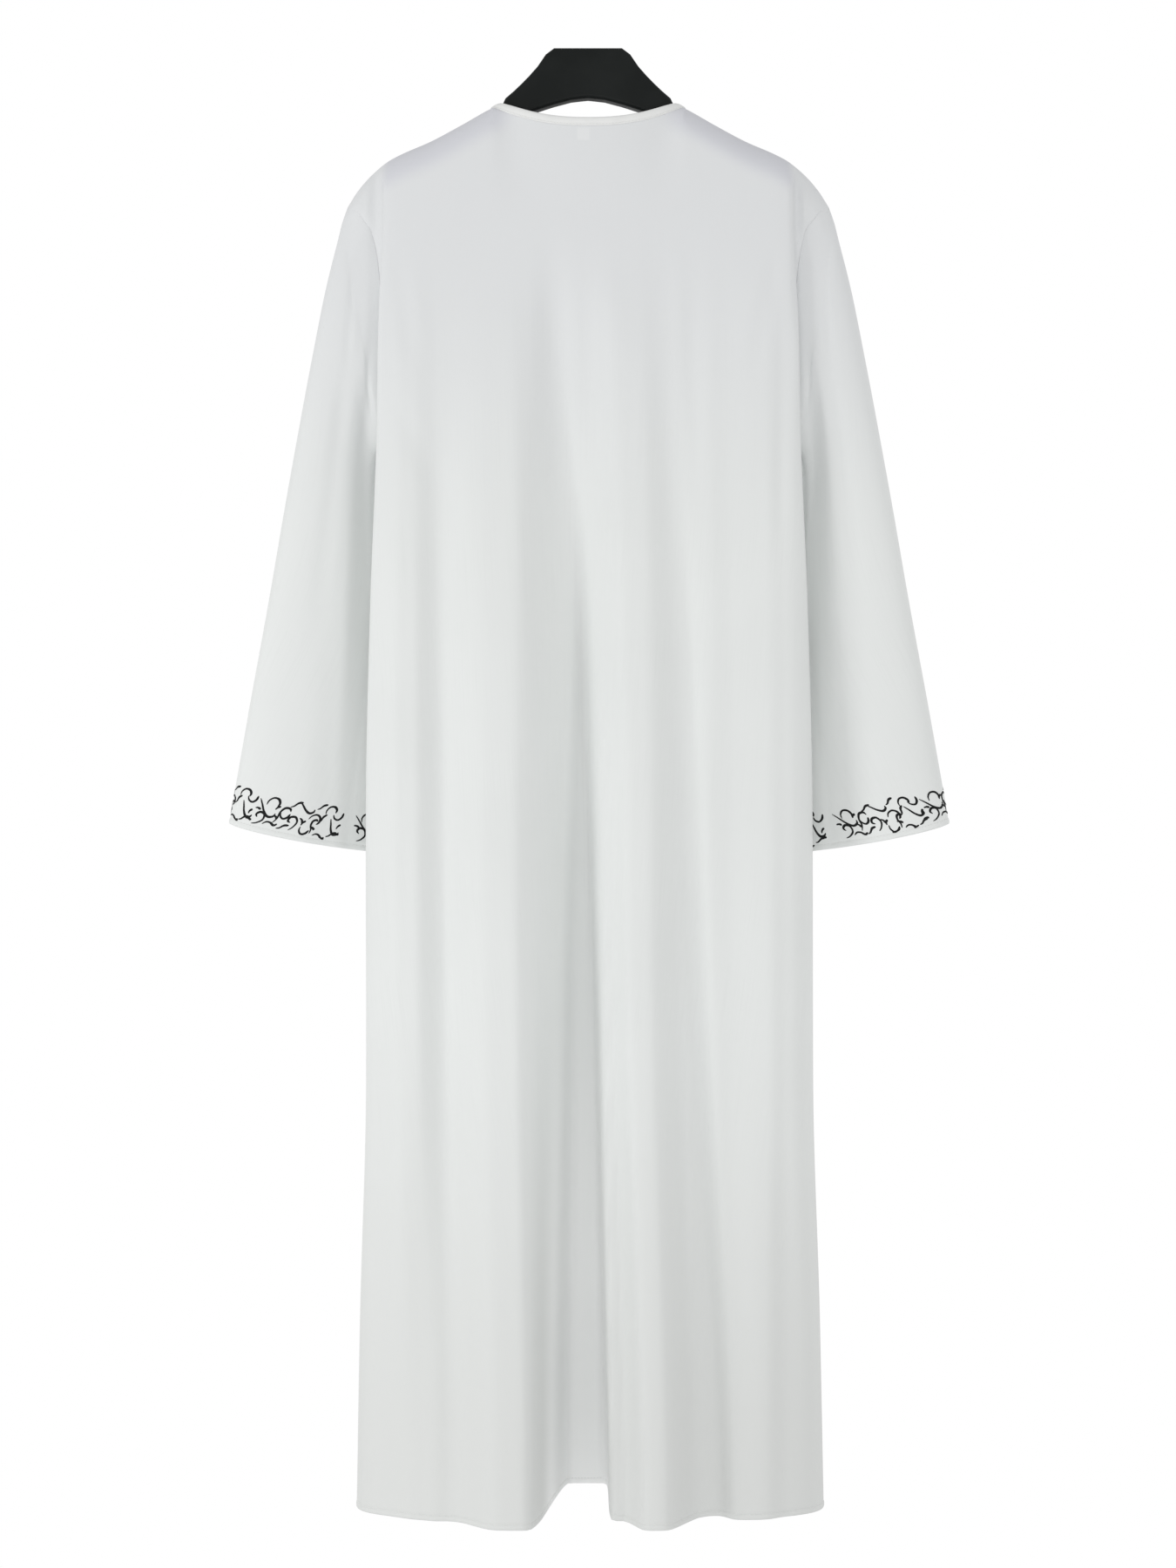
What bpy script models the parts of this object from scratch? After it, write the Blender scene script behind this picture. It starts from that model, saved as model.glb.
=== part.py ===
"""A long white thobe robe hanging on a broad black clothes hanger.

The robe is cut as a back, a front, two sleeves and a narrow binding round the neck. Each piece is a
cloth wall with the hollow, folds and open ends of the hung garment. The front faces -Y, the
wearer's left is +X, and the origin is the middle of the hanger's flat top, where its hook goes in.
"Drop" is a distance below that origin. All sizes are in metres.
"""

import math

import bmesh
import bpy
import numpy as np
from mathutils import Vector

CLOTH = 0.002            # thickness of every cloth wall
SEAM_GAP = 0.0003        # air between two pieces that are sewn together
HANGER_GAP = 0.0005      # air between the shoulders' inside and the hanger

SHOULDER_X = 0.2375      # shoulder point, where the armhole seam crosses the shoulder
UNDERARM_DROP = 0.385    # bottom of the armholes
HEM_DROP = 1.4425        # level of the robe's hem
NECK_X = 0.0955          # where the shoulder seams meet the neck edge
NECK_BACK_DROP = 0.0820
NECK_BACK_Y = 0.0300
NECK_FRONT_DROP = 0.1480
NECK_FRONT_Y = -0.0360
NECK_SQUARENESS = 2.6    # the neck's plan is an oval, squarer than an ellipse
NECK_DIP = 2.4           # power with which its edge rises from the middle to the shoulder seams
SLIT_TOP_GAP = 0.0070    # the front slit is a narrow V, open at the neck
BINDING_WIDTH = 0.0080
BINDING_PROUD = 0.0004   # how far the binding's face stands out of the cloth's
BINDING_THICK = 0.0030
BINDING_CROWN = 1.6      # its middle stands out by this much more than its edges
BINDING_BEVEL = 0.0008   # its top edge is rounded by this much
NECK_LEAN = 2.2          # the neck edge leans in this much, run for rise, at the shoulder seams
NECK_LEAN_POWER = 6      # a high power keeps it upright until near those seams
SHOULDER_ROUND = 0.0320  # the cloth turns over the hanger's arm within this drop
NECK_EASE = 0.1000       # below the neck's edge it reaches its plane within this drop
ARM_POWER = 4            # a high power keeps the turn over the arm away from the neck's middle
CUFF_SAG = 0.0060        # the cuff's edge curves down this far between its two ends

# Rows of the panels, as shares of the way from the top edge down to the armhole's bottom.
ARMHOLE_SHARES = (0, 0.008, 0.022, 0.050, 0.09, 0.15, 0.25, 0.38, 0.52, 0.66, 0.79, 0.89, 0.96, 1)
SKIRT_ROWS = 12          # rows from there to the hem
TOP_SPREAD = 0.09        # columns leave the top edge's places within this share of that way
NECK_COLUMNS = 8         # columns of half a panel within the neck's width
SIDE_COLUMNS = 12        # columns of half a panel from there to the side
SIDE_CROWDING = 1.25     # power with which those stand closer towards the side
SECTION_POINTS = 120     # points on each half of a section, and on its turn to the side seam
TURN_POINTS = 30
TURN_PULL = 1.5          # roundness of that turn
SLEEVE_RINGS = 14
RING_CROWDING = 0.95     # power that spaces the rings
SLEEVE_BLEND = 0.15      # a sleeve leaves the armhole's form within this share of its length
SLIT_END = 0.52          # the slit ends at this share of the armhole's height

# The ridge of the shoulders, from the neck out to the shoulder point.
SHOULDER_LINE = (
    # out,   drop
    (0.0000, 0.0200),
    (0.0955, 0.0590),
    (0.1250, 0.0755),
    (0.1550, 0.0915),
    (0.1850, 0.1045),
    (0.2000, 0.1125),
    (0.2150, 0.1250),
    (0.2300, 0.1430),
    (0.2375, 0.1560),
)

# The armhole seam, by its drop: how far out it lies, and half its width front to back.
ARMHOLE_LINE = (
    # drop,  out,    half
    (0.1560, 0.2375, 0.0000),
    (0.1600, 0.2350, 0.0075),
    (0.1680, 0.2270, 0.0110),
    (0.1770, 0.2180, 0.0125),
    (0.1910, 0.2100, 0.0130),
    (0.2200, 0.2050, 0.0130),
    (0.2800, 0.2010, 0.0120),
    (0.3400, 0.1990, 0.0100),
    (0.3700, 0.1980, 0.0075),
    (0.3850, 0.1980, 0.0000),
)

# The body's section by its drop at the side. The edge is where the section turns, seen from
# behind or in front, and the plane is the y of the panel's middle before its folds.
BACK_LEVELS = (
    # drop,  edge_x, edge_y,  plane_y, squareness
    (0.1560, 0.2020, 0.0150, 0.0265, 5.0),
    (0.2000, 0.2015, 0.0200, 0.0270, 5.0),
    (0.2950, 0.2060, 0.0200, 0.0290, 4.5),
    (0.3850, 0.2080, 0.0150, 0.0300, 4.2),
    (0.5500, 0.2150, 0.0080, 0.0320, 3.8),
    (0.7500, 0.2200, 0.0020, 0.0340, 3.4),
    (1.0200, 0.2210, -0.0080, 0.0350, 3.2),
    (1.2500, 0.2280, -0.0180, 0.0355, 3.1),
    (1.4425, 0.2325, -0.0300, 0.0360, 3.0),
)
FRONT_LEVELS = (
    # drop,  edge_x, edge_y,  plane_y, squareness
    (0.1560, 0.2040, -0.0150, -0.0265, 4.0),
    (0.2000, 0.2010, -0.0200, -0.0300, 4.0),
    (0.2950, 0.2020, -0.0210, -0.0360, 3.4),
    (0.3850, 0.2030, -0.0200, -0.0400, 2.8),
    (0.5500, 0.2110, -0.0140, -0.0500, 2.3),
    (0.7500, 0.2190, -0.0050, -0.0600, 2.2),
    (1.0200, 0.2210, -0.0080, -0.0740, 2.4),
    (1.2500, 0.2280, -0.0180, -0.0860, 2.6),
    (1.4425, 0.2325, -0.0300, -0.0960, 2.8),
)
SIDE_SEAM = (
    # drop,  out,    y
    (0.1560, 0.1980, 0.0000),
    (0.3850, 0.1980, -0.0020),
    (0.5000, 0.2060, -0.0040),
    (0.6500, 0.2165, -0.0020),
    (0.7500, 0.2200, -0.0010),
    (1.0200, 0.2210, -0.0080),
    (1.2500, 0.2280, -0.0180),
    (1.4425, 0.2325, -0.0300),
)

# Folds of each panel. A fold begins at a drop, and its middle runs through three places across the
# panel: at its start, half way down and at the hem. Flat is half the width of its level bottom.
# Past that it fades on the left (+X) and on the right, over one width at its start and another at
# the hem. Depth is at the hem, into the body, and a ridge has a negative one. Lean slides the
# bottom towards -X, so that the cloth overhangs it. Growth is the power with which depth grows.
FOLD_COLUMNS = (
    "start", "x_top", "x_mid", "x_hem", "left_top", "left", "right_top", "right", "flat_top", "flat",
    "depth", "lean", "growth",
)
BACK_FOLDS = {
    "middle valley": (
        0.165, 0.031, 0.012, 0.0155, 0.054, 0.024, 0.026, 0.020, 0.0000, 0.0180, 0.1010, 0.0125, 1.25,
    ),
    "right valley": (
        0.150, -0.072, -0.096, -0.118, 0.024, 0.030, 0.018, 0.024, 0.0020, 0.0020, 0.0110, 0.0040, 0.70,
    ),
    "left valley": (
        0.340, 0.146, 0.140, 0.172, 0.030, 0.036, 0.030, 0.036, 0.0020, 0.0020, 0.0050, 0.0020, 0.30,
    ),
    "left ridge": (
        0.200, 0.088, 0.086, 0.076, 0.040, 0.056, 0.030, 0.030, 0.0120, 0.0120, -0.0340, 0.0000, 1.10,
    ),
    "right ridge": (
        0.200, -0.040, -0.048, -0.063, 0.022, 0.024, 0.034, 0.034, 0.0080, 0.0080, -0.0340, 0.0000, 1.10,
    ),
    "left side swell": (
        0.180, 0.178, 0.178, 0.165, 0.022, 0.036, 0.024, 0.040, 0.0060, 0.0060, -0.0110, 0.0000, 0.60,
    ),
    "right side swell": (
        0.180, -0.168, -0.172, -0.170, 0.034, 0.040, 0.020, 0.020, 0.0020, 0.0020, -0.0050, 0.0000, 0.30,
    ),
}
FRONT_FOLDS = {
    "middle ridge": (
        0.300, 0.014, 0.016, 0.022, 0.036, 0.056, 0.030, 0.044, 0.0060, 0.0060, -0.0300, 0.0000, 1.00,
    ),
    "left valley": (
        0.260, 0.076, 0.088, 0.096, 0.028, 0.040, 0.030, 0.044, 0.0040, 0.0040, 0.0420, -0.0100, 1.20,
    ),
    "right valley": (
        0.220, -0.070, -0.068, -0.072, 0.034, 0.044, 0.026, 0.036, 0.0040, 0.0040, 0.0340, 0.0120, 1.10,
    ),
    "left ridge": (
        0.300, 0.144, 0.148, 0.154, 0.020, 0.030, 0.022, 0.032, 0.0040, 0.0040, -0.0150, 0.0000, 1.00,
    ),
    "right ridge": (
        0.300, -0.124, -0.128, -0.132, 0.026, 0.034, 0.026, 0.036, 0.0060, 0.0060, -0.0220, 0.0000, 1.00,
    ),
}
FOLD_GROWTH = 0.10       # a fold grows out of the plain cloth within this drop
FLAT_GROWTH = 2          # a fold's flat bottom widens with this power of the way down
FOLD_KEEP = 0.86         # folds fade from this share of the way to the body's edge
SWAY = 0.0022            # the robe hangs this far towards -X at its hem
HEM_RISE = 0.10          # the hem lifts by this share of a fold's depth

# Rings of a sleeve, named by the drop of their outer point. The inner point is near the body.
SLEEVE_STATIONS = (
    # outer_drop, outer_x, outer_y, inner_x, inner_y, inner_drop, half_thick
    (0.1560, 0.2375, 0.0000, 0.1980, -0.0020, 0.3850, 0.0120),
    (0.1700, 0.2425, 0.0000, 0.2030, -0.0040, 0.3880, 0.0150),
    (0.1900, 0.2475, 0.0000, 0.2075, -0.0080, 0.3930, 0.0180),
    (0.2350, 0.2588, 0.0000, 0.2115, -0.0170, 0.4080, 0.0215),
    (0.3120, 0.2744, -0.0010, 0.2130, -0.0280, 0.4450, 0.0240),
    (0.4410, 0.2984, -0.0030, 0.2080, -0.0390, 0.5400, 0.0255),
    (0.5440, 0.3165, -0.0050, 0.2030, -0.0460, 0.6200, 0.0265),
    (0.6480, 0.3358, -0.0070, 0.1980, -0.0510, 0.7020, 0.0275),
    (0.7635, 0.3565, -0.0090, 0.1950, -0.0540, 0.7920, 0.0285),
)
SLEEVE_FOLDS = (
    # side (+1 back, -1 front), across (0 outer, 1 inner), width, start and full share, depth
    (1, 0.80, 0.22, 0.05, 0.30, 0.0050),
    (1, 0.62, 0.26, 0.70, 1.00, 0.0060),
    (-1, 0.30, 0.20, 0.10, 0.60, 0.0060),
    (-1, 0.72, 0.20, 0.30, 0.90, 0.0050),
)

# Half of the hanger, in the open at the neck and then under the shoulders, where its top follows
# the cloth. Its upper edges are quarter ovals, this far round across the hanger and down.
HANGER_NECK = (
    # out,   top,    height, half_thick, round_across, round_down
    (0.0000, 0.0000, 0.0495, 0.0085, 0.0040, 0.0040),
    (0.0180, 0.0000, 0.0515, 0.0085, 0.0040, 0.0040),
    (0.0345, 0.0000, 0.0558, 0.0085, 0.0040, 0.0040),
    (0.0385, 0.0016, 0.0556, 0.0085, 0.0040, 0.0040),
    (0.0415, 0.0060, 0.0523, 0.0085, 0.0040, 0.0040),
    (0.0485, 0.0165, 0.0441, 0.0085, 0.0040, 0.0040),
    (0.0605, 0.0300, 0.0348, 0.0085, 0.0040, 0.0040),
    (0.0730, 0.0422, 0.0276, 0.0085, 0.0040, 0.0050),
    (0.0820, 0.0500, 0.0235, 0.0085, 0.0050, 0.0080),
    (0.0865, 0.0630, 0.0150, 0.0085, 0.0070, 0.0075),
)
HANGER_ARM = (
    # out,   sunk,   height, half_thick, round_across, round_down
    (0.0955, 0.0042, 0.0165, 0.0088, 0.0085, 0.0095),
    (0.1050, 0.0002, 0.0202, 0.0110, 0.0105, 0.0150),
    (0.1250, 0.0000, 0.0230, 0.0150, 0.0145, 0.0190),
    (0.1500, 0.0000, 0.0270, 0.0180, 0.0172, 0.0220),
    (0.1720, 0.0000, 0.0288, 0.0185, 0.0178, 0.0240),
    (0.1880, 0.0006, 0.0286, 0.0170, 0.0163, 0.0240),
    (0.1945, 0.0040, 0.0250, 0.0155, 0.0145, 0.0200),
    (0.1975, 0.0080, 0.0180, 0.0100, 0.0090, 0.0120),
)
HANGER_EDGE = 0.0040     # rounding of its lower edges
HANGER_CORNER_STEPS = 3
SLOPED_WALL = 1.15       # a sloping wall is this much thicker, measured straight down
LABEL_WIDTH = 0.0130
LABEL_HEIGHT = 0.0130
LABEL_THICK = 0.0010
LABEL_X = 0.0045
LABEL_BELOW_EDGE = 0.0006
SAME_PLACE = 0.00005     # edge points nearer than this meet in one seam
SEAM_SPARE = 0.00002     # added to each side's half of the seam gap
SHARP_ANGLE = 50         # degrees between faces from which an edge is shaded sharp

COLOURS = {
    # material: (colour, roughness)
    "white cloth": ((0.72, 0.73, 0.71, 1), 0.85),
    "binding cloth": ((0.78, 0.78, 0.77, 1), 0.80),
    "label tape": ((0.85, 0.85, 0.85, 1), 0.70),
    "black plastic": ((0.012, 0.014, 0.013, 1), 0.42),
}


def smooth_step(value):
    """0 below 0, 1 above 1, and an even curve between them."""
    value = np.clip(value, 0, 1)
    return value * value * (3 - 2 * value)


def table_value(table, column, at):
    """A column of a table at any value of its first column, on a smooth curve with no overshoot."""
    x = np.array([row[0] for row in table], float)
    y = np.array([row[column] for row in table], float)
    at = np.clip(np.asarray(at, float), x[0], x[-1])
    steps = np.diff(x)
    slopes = np.diff(y) / steps
    tangents = np.zeros_like(y)
    same_way = slopes[:-1] * slopes[1:] > 0
    w1 = 2 * steps[1:] + steps[:-1]
    w2 = steps[1:] + 2 * steps[:-1]
    safe = np.where(same_way, slopes[:-1] * slopes[1:], 1)
    harmonic = (w1 + w2) * safe / np.where(same_way, w1 * slopes[1:] + w2 * slopes[:-1], 1)
    tangents[1:-1] = np.where(same_way, harmonic, 0)
    tangents[0], tangents[-1] = slopes[0], slopes[-1]
    i = np.clip(np.searchsorted(x, at, side="right") - 1, 0, len(x) - 2)
    s = (at - x[i]) / steps[i]
    return (
        y[i] * (1 + 2 * s) * (1 - s) ** 2
        + y[i + 1] * s * s * (3 - 2 * s)
        + steps[i] * (tangents[i] * s * (1 - s) ** 2 + tangents[i + 1] * s * s * (s - 1))
    )


class Panel:
    """The back (side +1) or the front (side -1) of the robe, before it gets its thickness."""

    def __init__(self, side, levels, folds, neck_drop, neck_y):
        self.side = side
        self.levels = levels
        self.folds = [dict(zip(FOLD_COLUMNS, row)) for row in folds.values()]
        self.neck_drop = neck_drop
        self.neck_y = neck_y
        neck_share = NECK_X / SHOULDER_X
        to_side = np.linspace(1, 0, SIDE_COLUMNS + 1)[1:]
        outside = 1 - (1 - neck_share) * to_side ** SIDE_CROWDING
        even = np.linspace(0, 1, NECK_COLUMNS + 1)
        self.shares = self.both_sides(neck_share * even, outside)
        self.top_x = SHOULDER_X * self.both_sides(neck_share * np.sin(even * math.pi / 2), outside)
        self.middle = NECK_COLUMNS + SIDE_COLUMNS

    @staticmethod
    def both_sides(inside, outside):
        """Places from the left seam to the right one, from those of one half."""
        half = np.concatenate([inside, outside])
        return np.concatenate([half[:0:-1], -half])

    def top_drop(self, x):
        """The drop of the panel's top edge: the shoulder seams, and the neck edge between them."""
        out = np.abs(x)
        ridge = table_value(SHOULDER_LINE, 1, out)
        neck_point = SHOULDER_LINE[1][1]
        across = np.clip(out / NECK_X, 0, 1)
        neck = self.neck_drop + (neck_point - self.neck_drop) * across ** NECK_DIP
        return np.where(out < NECK_X, neck, ridge)

    def top_y(self, x):
        """The y of the top edge: an oval round the neck, and 0 along the shoulders."""
        across = np.clip(np.abs(x) / NECK_X, 0, 1)
        return self.neck_y * (1 - across ** NECK_SQUARENESS) ** (1 / NECK_SQUARENESS)

    def fold_shift(self, x, drop, edge_x):
        """How far the folds move points at x and drop: along X, and into the body."""
        sideways, inwards = np.zeros_like(x), np.zeros_like(x)
        for f in self.folds:
            down = np.clip((drop - f["start"]) / (HEM_DROP - f["start"]), 0, 1)
            grown = down ** f["growth"] * smooth_step((drop - f["start"]) / FOLD_GROWTH)
            half_way = np.where(down < 0.5, down, 1 - down) * 2
            middle = np.where(
                down < 0.5,
                f["x_mid"] + (f["x_top"] - f["x_mid"]) * (1 - smooth_step(half_way)),
                f["x_mid"] + (f["x_hem"] - f["x_mid"]) * (1 - smooth_step(half_way)),
            )
            left_width = f["left_top"] + (f["left"] - f["left_top"]) * down
            right_width = f["right_top"] + (f["right"] - f["right_top"]) * down
            flat = f["flat_top"] + (f["flat"] - f["flat_top"]) * down ** FLAT_GROWTH
            past = np.where(
                x > middle,
                (x - middle - flat) / left_width,
                (middle - flat - x) / right_width,
            )
            share = grown * (1 - smooth_step(past))
            inwards += f["depth"] * share
            sideways -= f["lean"] * share
        keep = 1 - smooth_step((np.abs(x) / edge_x - FOLD_KEEP) / (1 - FOLD_KEEP))
        return sideways * keep, inwards * keep

    def section(self, side_drop, share):
        """x and y of one row's points, from the left seam to the right one, before its folds."""
        edge_x = table_value(self.levels, 1, side_drop)
        edge_y = table_value(self.levels, 2, side_drop)
        plane_y = table_value(self.levels, 3, side_drop)
        squareness = table_value(self.levels, 4, side_drop)
        if share < 1:
            seam_x = table_value(ARMHOLE_LINE, 1, side_drop)
            seam_y = table_value(SIDE_SEAM, 2, side_drop)
            seam_y = seam_y + self.side * table_value(ARMHOLE_LINE, 2, side_drop)
        else:
            seam_x = table_value(SIDE_SEAM, 1, side_drop)
            seam_y = table_value(SIDE_SEAM, 2, side_drop)
        # The power spaces the points evenly along x, for the folds near the middle.
        turn = math.pi / 2 * np.linspace(0, 1, SECTION_POINTS) ** (squareness / 2)
        main_x = edge_x * np.sin(turn) ** (2 / squareness)
        main_y = edge_y + (plane_y - edge_y) * np.maximum(np.cos(turn), 0) ** (2 / squareness)
        # From the edge the cloth turns towards the body's middle plane and runs to the seam.
        s = np.linspace(0, 1, TURN_POINTS)[1:]
        outwards = TURN_PULL * max(seam_x - edge_x, 0)
        inwards = -self.side * TURN_PULL * abs(edge_y - seam_y)
        h_start, h_end = (1 + 2 * s) * (1 - s) ** 2, s * s * (3 - 2 * s)
        t_start, t_end = s * (1 - s) ** 2, s * s * (s - 1)
        turn_x = edge_x * h_start + seam_x * h_end + outwards * t_end
        turn_y = edge_y * h_start + seam_y * h_end + inwards * (t_start + t_end)
        half_x = np.concatenate([main_x, turn_x])
        half_y = np.concatenate([main_y, turn_y])
        on_main = np.arange(len(half_x)) < len(main_x)
        x = np.concatenate([half_x[::-1], -half_x[1:]])
        y = np.concatenate([half_y[::-1], half_y[1:]])
        foldable = np.concatenate([on_main[::-1], on_main[1:]])
        return x, y, foldable, edge_x

    def row(self, share, skirt_share):
        """The points of one row. Share runs down the armhole, skirt_share from there to the hem."""
        top_edge_drop = SHOULDER_LINE[-1][1]
        if share < 1:
            side_drop = top_edge_drop + (UNDERARM_DROP - top_edge_drop) * share
        else:
            side_drop = UNDERARM_DROP + (HEM_DROP - UNDERARM_DROP) * skirt_share
        x, y, foldable, edge_x = self.section(side_drop, share)
        if share < 1:
            drop = self.top_drop(x) + (UNDERARM_DROP - self.top_drop(x)) * share
        else:
            drop = np.full_like(x, side_drop)
        sideways, inwards = self.fold_shift(x, drop, edge_x)
        x = x + sideways * foldable
        y = y - self.side * inwards * foldable
        along = np.concatenate([[0], np.cumsum(np.hypot(np.diff(x), np.diff(y)))])
        at = (1 - self.shares) / 2 * along[-1]
        x = np.interp(at, along, x)
        y = np.interp(at, along, y)
        into_fold = np.interp(at, along, np.where(foldable, inwards, 0))
        if share < 1:
            spread = smooth_step(share / TOP_SPREAD)
            x = self.top_x * (1 - spread) + x * spread
            fallen = (UNDERARM_DROP - self.top_drop(x)) * share
            over_arm = np.sqrt(1 - (1 - np.clip(fallen / SHOULDER_ROUND, 0, 1)) ** 2)
            beside_neck = smooth_step(fallen / NECK_EASE)
            on_arm = np.clip(np.abs(x) / NECK_X, 0, 1) ** ARM_POWER
            turned = over_arm * on_arm + beside_neck * (1 - on_arm)
            y = self.top_y(x) + (y - self.top_y(x)) * turned
            drop = self.top_drop(x) + fallen
        else:
            drop = side_drop - HEM_RISE * np.maximum(into_fold, 0) * skirt_share
        return np.stack([x, y, -drop], axis=1)

    def grid(self):
        """All the panel's points, a row for each level from the top edge to the hem."""
        upper = [self.row(share, 0) for share in ARMHOLE_SHARES[:-1]]
        lower = [self.row(1, k / SKIRT_ROWS) for k in range(SKIRT_ROWS + 1)]
        return np.array(upper + lower)


def sleeve_grid(back, front, hand):
    """The points of a sleeve, a row for each ring from the armhole to the cuff.

    The first ring is the armhole edge of both panels: down the back and up the front.
    """
    column = 0 if hand > 0 else -1
    last = len(ARMHOLE_SHARES) - 1
    armhole = np.concatenate([back[: last + 1, column], front[last - 1 : 0 : -1, column]])
    shares = np.array(ARMHOLE_SHARES + ARMHOLE_SHARES[last - 1 : 0 : -1])
    faces_back = np.arange(len(shares)) <= last
    around = np.arccos(1 - 2 * shares) * np.where(faces_back, 1, -1)
    stations = [(i / (len(SLEEVE_STATIONS) - 1), *row) for i, row in enumerate(SLEEVE_STATIONS)]
    rings = [armhole]
    for k in range(1, SLEEVE_RINGS + 1):
        at = (k / SLEEVE_RINGS) ** RING_CROWDING
        o_drop, o_x, o_y, i_x, i_y, i_drop, half = (table_value(stations, c, at) for c in range(1, 8))
        outer = np.array([o_x * hand, o_y, -o_drop])
        inner = np.array([i_x * hand, i_y, -i_drop])
        middle, reach = (outer + inner) / 2, (outer - inner) / 2
        across = reach / np.linalg.norm(reach)
        thick = np.array([0.0, 1.0, 0.0]) - across[1] * across
        thick = thick / np.linalg.norm(thick)
        bulge = half * np.sin(around)
        for side, place, width, start, full, depth in SLEEVE_FOLDS:
            near = 1 - smooth_step(np.abs(shares - place) / width)
            on_side = (np.sign(np.sin(around)) == side) * np.abs(np.sin(around))
            bulge = bulge - side * depth * near * on_side * smooth_step((at - start) / (full - start))
        ring = middle + np.outer(np.cos(around), reach) + np.outer(bulge, thick)
        ring[:, 2] -= CUFF_SAG * np.abs(np.sin(around)) * smooth_step(2 * at - 1)
        blend = smooth_step(at / SLEEVE_BLEND)
        rings.append(armhole * (1 - blend) + ring * blend)
    return np.array(rings)


def grid_normals(points, closed, outward):
    """A normal at each point of a grid, turned the way outward says (+1 or -1)."""
    down = np.gradient(points, axis=0)
    if closed:
        across = np.roll(points, -1, axis=1) - np.roll(points, 1, axis=1)
    else:
        across = np.gradient(points, axis=1)
    normal = np.cross(down, across) * outward
    return normal / np.linalg.norm(normal, axis=2, keepdims=True)


def edge_mask(shape, closed):
    """True at the grid's points that lie on an edge of the cloth."""
    mask = np.zeros(shape, bool)
    mask[0] = mask[-1] = True
    if not closed:
        mask[:, 0] = mask[:, -1] = True
    return mask


def share_seam_normals(sheets):
    """Gives points of different pieces that meet in a seam one common normal."""
    meeting = {}
    for sheet in sheets:
        mask = edge_mask(sheet["points"].shape[:2], sheet["closed"])
        for place in zip(*np.nonzero(mask)):
            key = tuple(np.round(sheet["points"][place] / SAME_PLACE).astype(int))
            meeting.setdefault(key, []).append((sheet, place))
    for group in meeting.values():
        common = sum(sheet["normals"][place] for sheet, place in group)
        common = common / np.linalg.norm(common)
        for sheet, place in group:
            sheet["normals"][place] = common


def open_seams(sheet):
    """Draws the edges of a piece back by half the seam gap, along the cloth."""
    points = sheet["points"]
    moved = points.copy()
    half = SEAM_GAP / 2 + SEAM_SPARE

    def draw_back(edge, inner):
        step = points[inner] - points[edge]
        moved[edge] += half * step / np.linalg.norm(step, axis=-1, keepdims=True)

    draw_back(np.s_[0, :], np.s_[1, :])
    if not sheet["closed"]:
        draw_back(np.s_[:, 0], np.s_[:, 1])
        draw_back(np.s_[:, -1], np.s_[:, -2])
    sheet["points"] = moved


def material(name):
    """The Principled material of one of the robe's or the hanger's finishes."""
    found = bpy.data.materials.get(name)
    if found:
        return found
    made = bpy.data.materials.new(name)
    made.use_nodes = True
    colour, roughness = COLOURS[name]
    shader = made.node_tree.nodes["Principled BSDF"]
    shader.inputs["Base Color"].default_value = colour
    shader.inputs["Roughness"].default_value = roughness
    shader.inputs["Metallic"].default_value = 0
    return made


def add_object(name, bm, finish):
    """Makes a bmesh an object with its material, shaded smooth but for its sharp edges."""
    bmesh.ops.recalc_face_normals(bm, faces=bm.faces[:])
    mesh = bpy.data.meshes.new(name)
    bm.to_mesh(mesh)
    bm.free()
    mesh.materials.append(material(finish))
    mesh.shade_smooth()
    mesh.set_sharp_from_angle(angle=math.radians(SHARP_ANGLE))
    made = bpy.data.objects.new(name, mesh)
    bpy.context.scene.collection.objects.link(made)
    return made


def cloth_from_sheet(name, sheet, finish="white cloth", slit=None):
    """A cloth wall on a grid of points: its outside is the grid, and it is thickened inwards."""
    rows, columns = sheet["points"].shape[:2]
    bm = bmesh.new()
    place = bm.verts.layers.int.new("place")
    verts = [bm.verts.new(p) for p in sheet["points"].reshape(-1, 3)]
    for number, vert in enumerate(verts):
        vert[place] = number
    across = columns if sheet["closed"] else columns - 1
    for r in range(rows - 1):
        for c in range(across):
            d = (c + 1) % columns
            corners = (r * columns + c, r * columns + d, (r + 1) * columns + d, (r + 1) * columns + c)
            bm.faces.new([verts[i] for i in corners])
    if slit is not None:
        cut_slit(bm, verts, columns, *slit)
    bmesh.ops.recalc_face_normals(bm, faces=bm.faces[:])
    done = bmesh.ops.extrude_face_region(bm, geom=bm.faces[:], use_keep_orig=True)
    normals = sheet["normals"].reshape(-1, 3)
    inner = {vert for vert in done["geom"] if isinstance(vert, bmesh.types.BMVert)}
    for vert in inner:
        vert.co -= Vector(CLOTH * normals[vert[place]])
    split_rim(bm, inner)
    return add_object(name, bm, finish)


def split_rim(bm, inner):
    """Cuts the faces of the cloth's edges by one rule, so that both sides of a seam match."""
    for face in bm.faces[:]:
        outside = [vert for vert in face.verts if vert not in inner]
        if len(outside) != 2:
            continue
        high = max(outside, key=lambda vert: (round(vert.co.z, 3), round(vert.co.y, 3), vert.co.x))
        corners = list(face.verts)
        across = corners[(corners.index(high) + 2) % 4]
        bmesh.utils.face_split(face, high, across)


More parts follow.
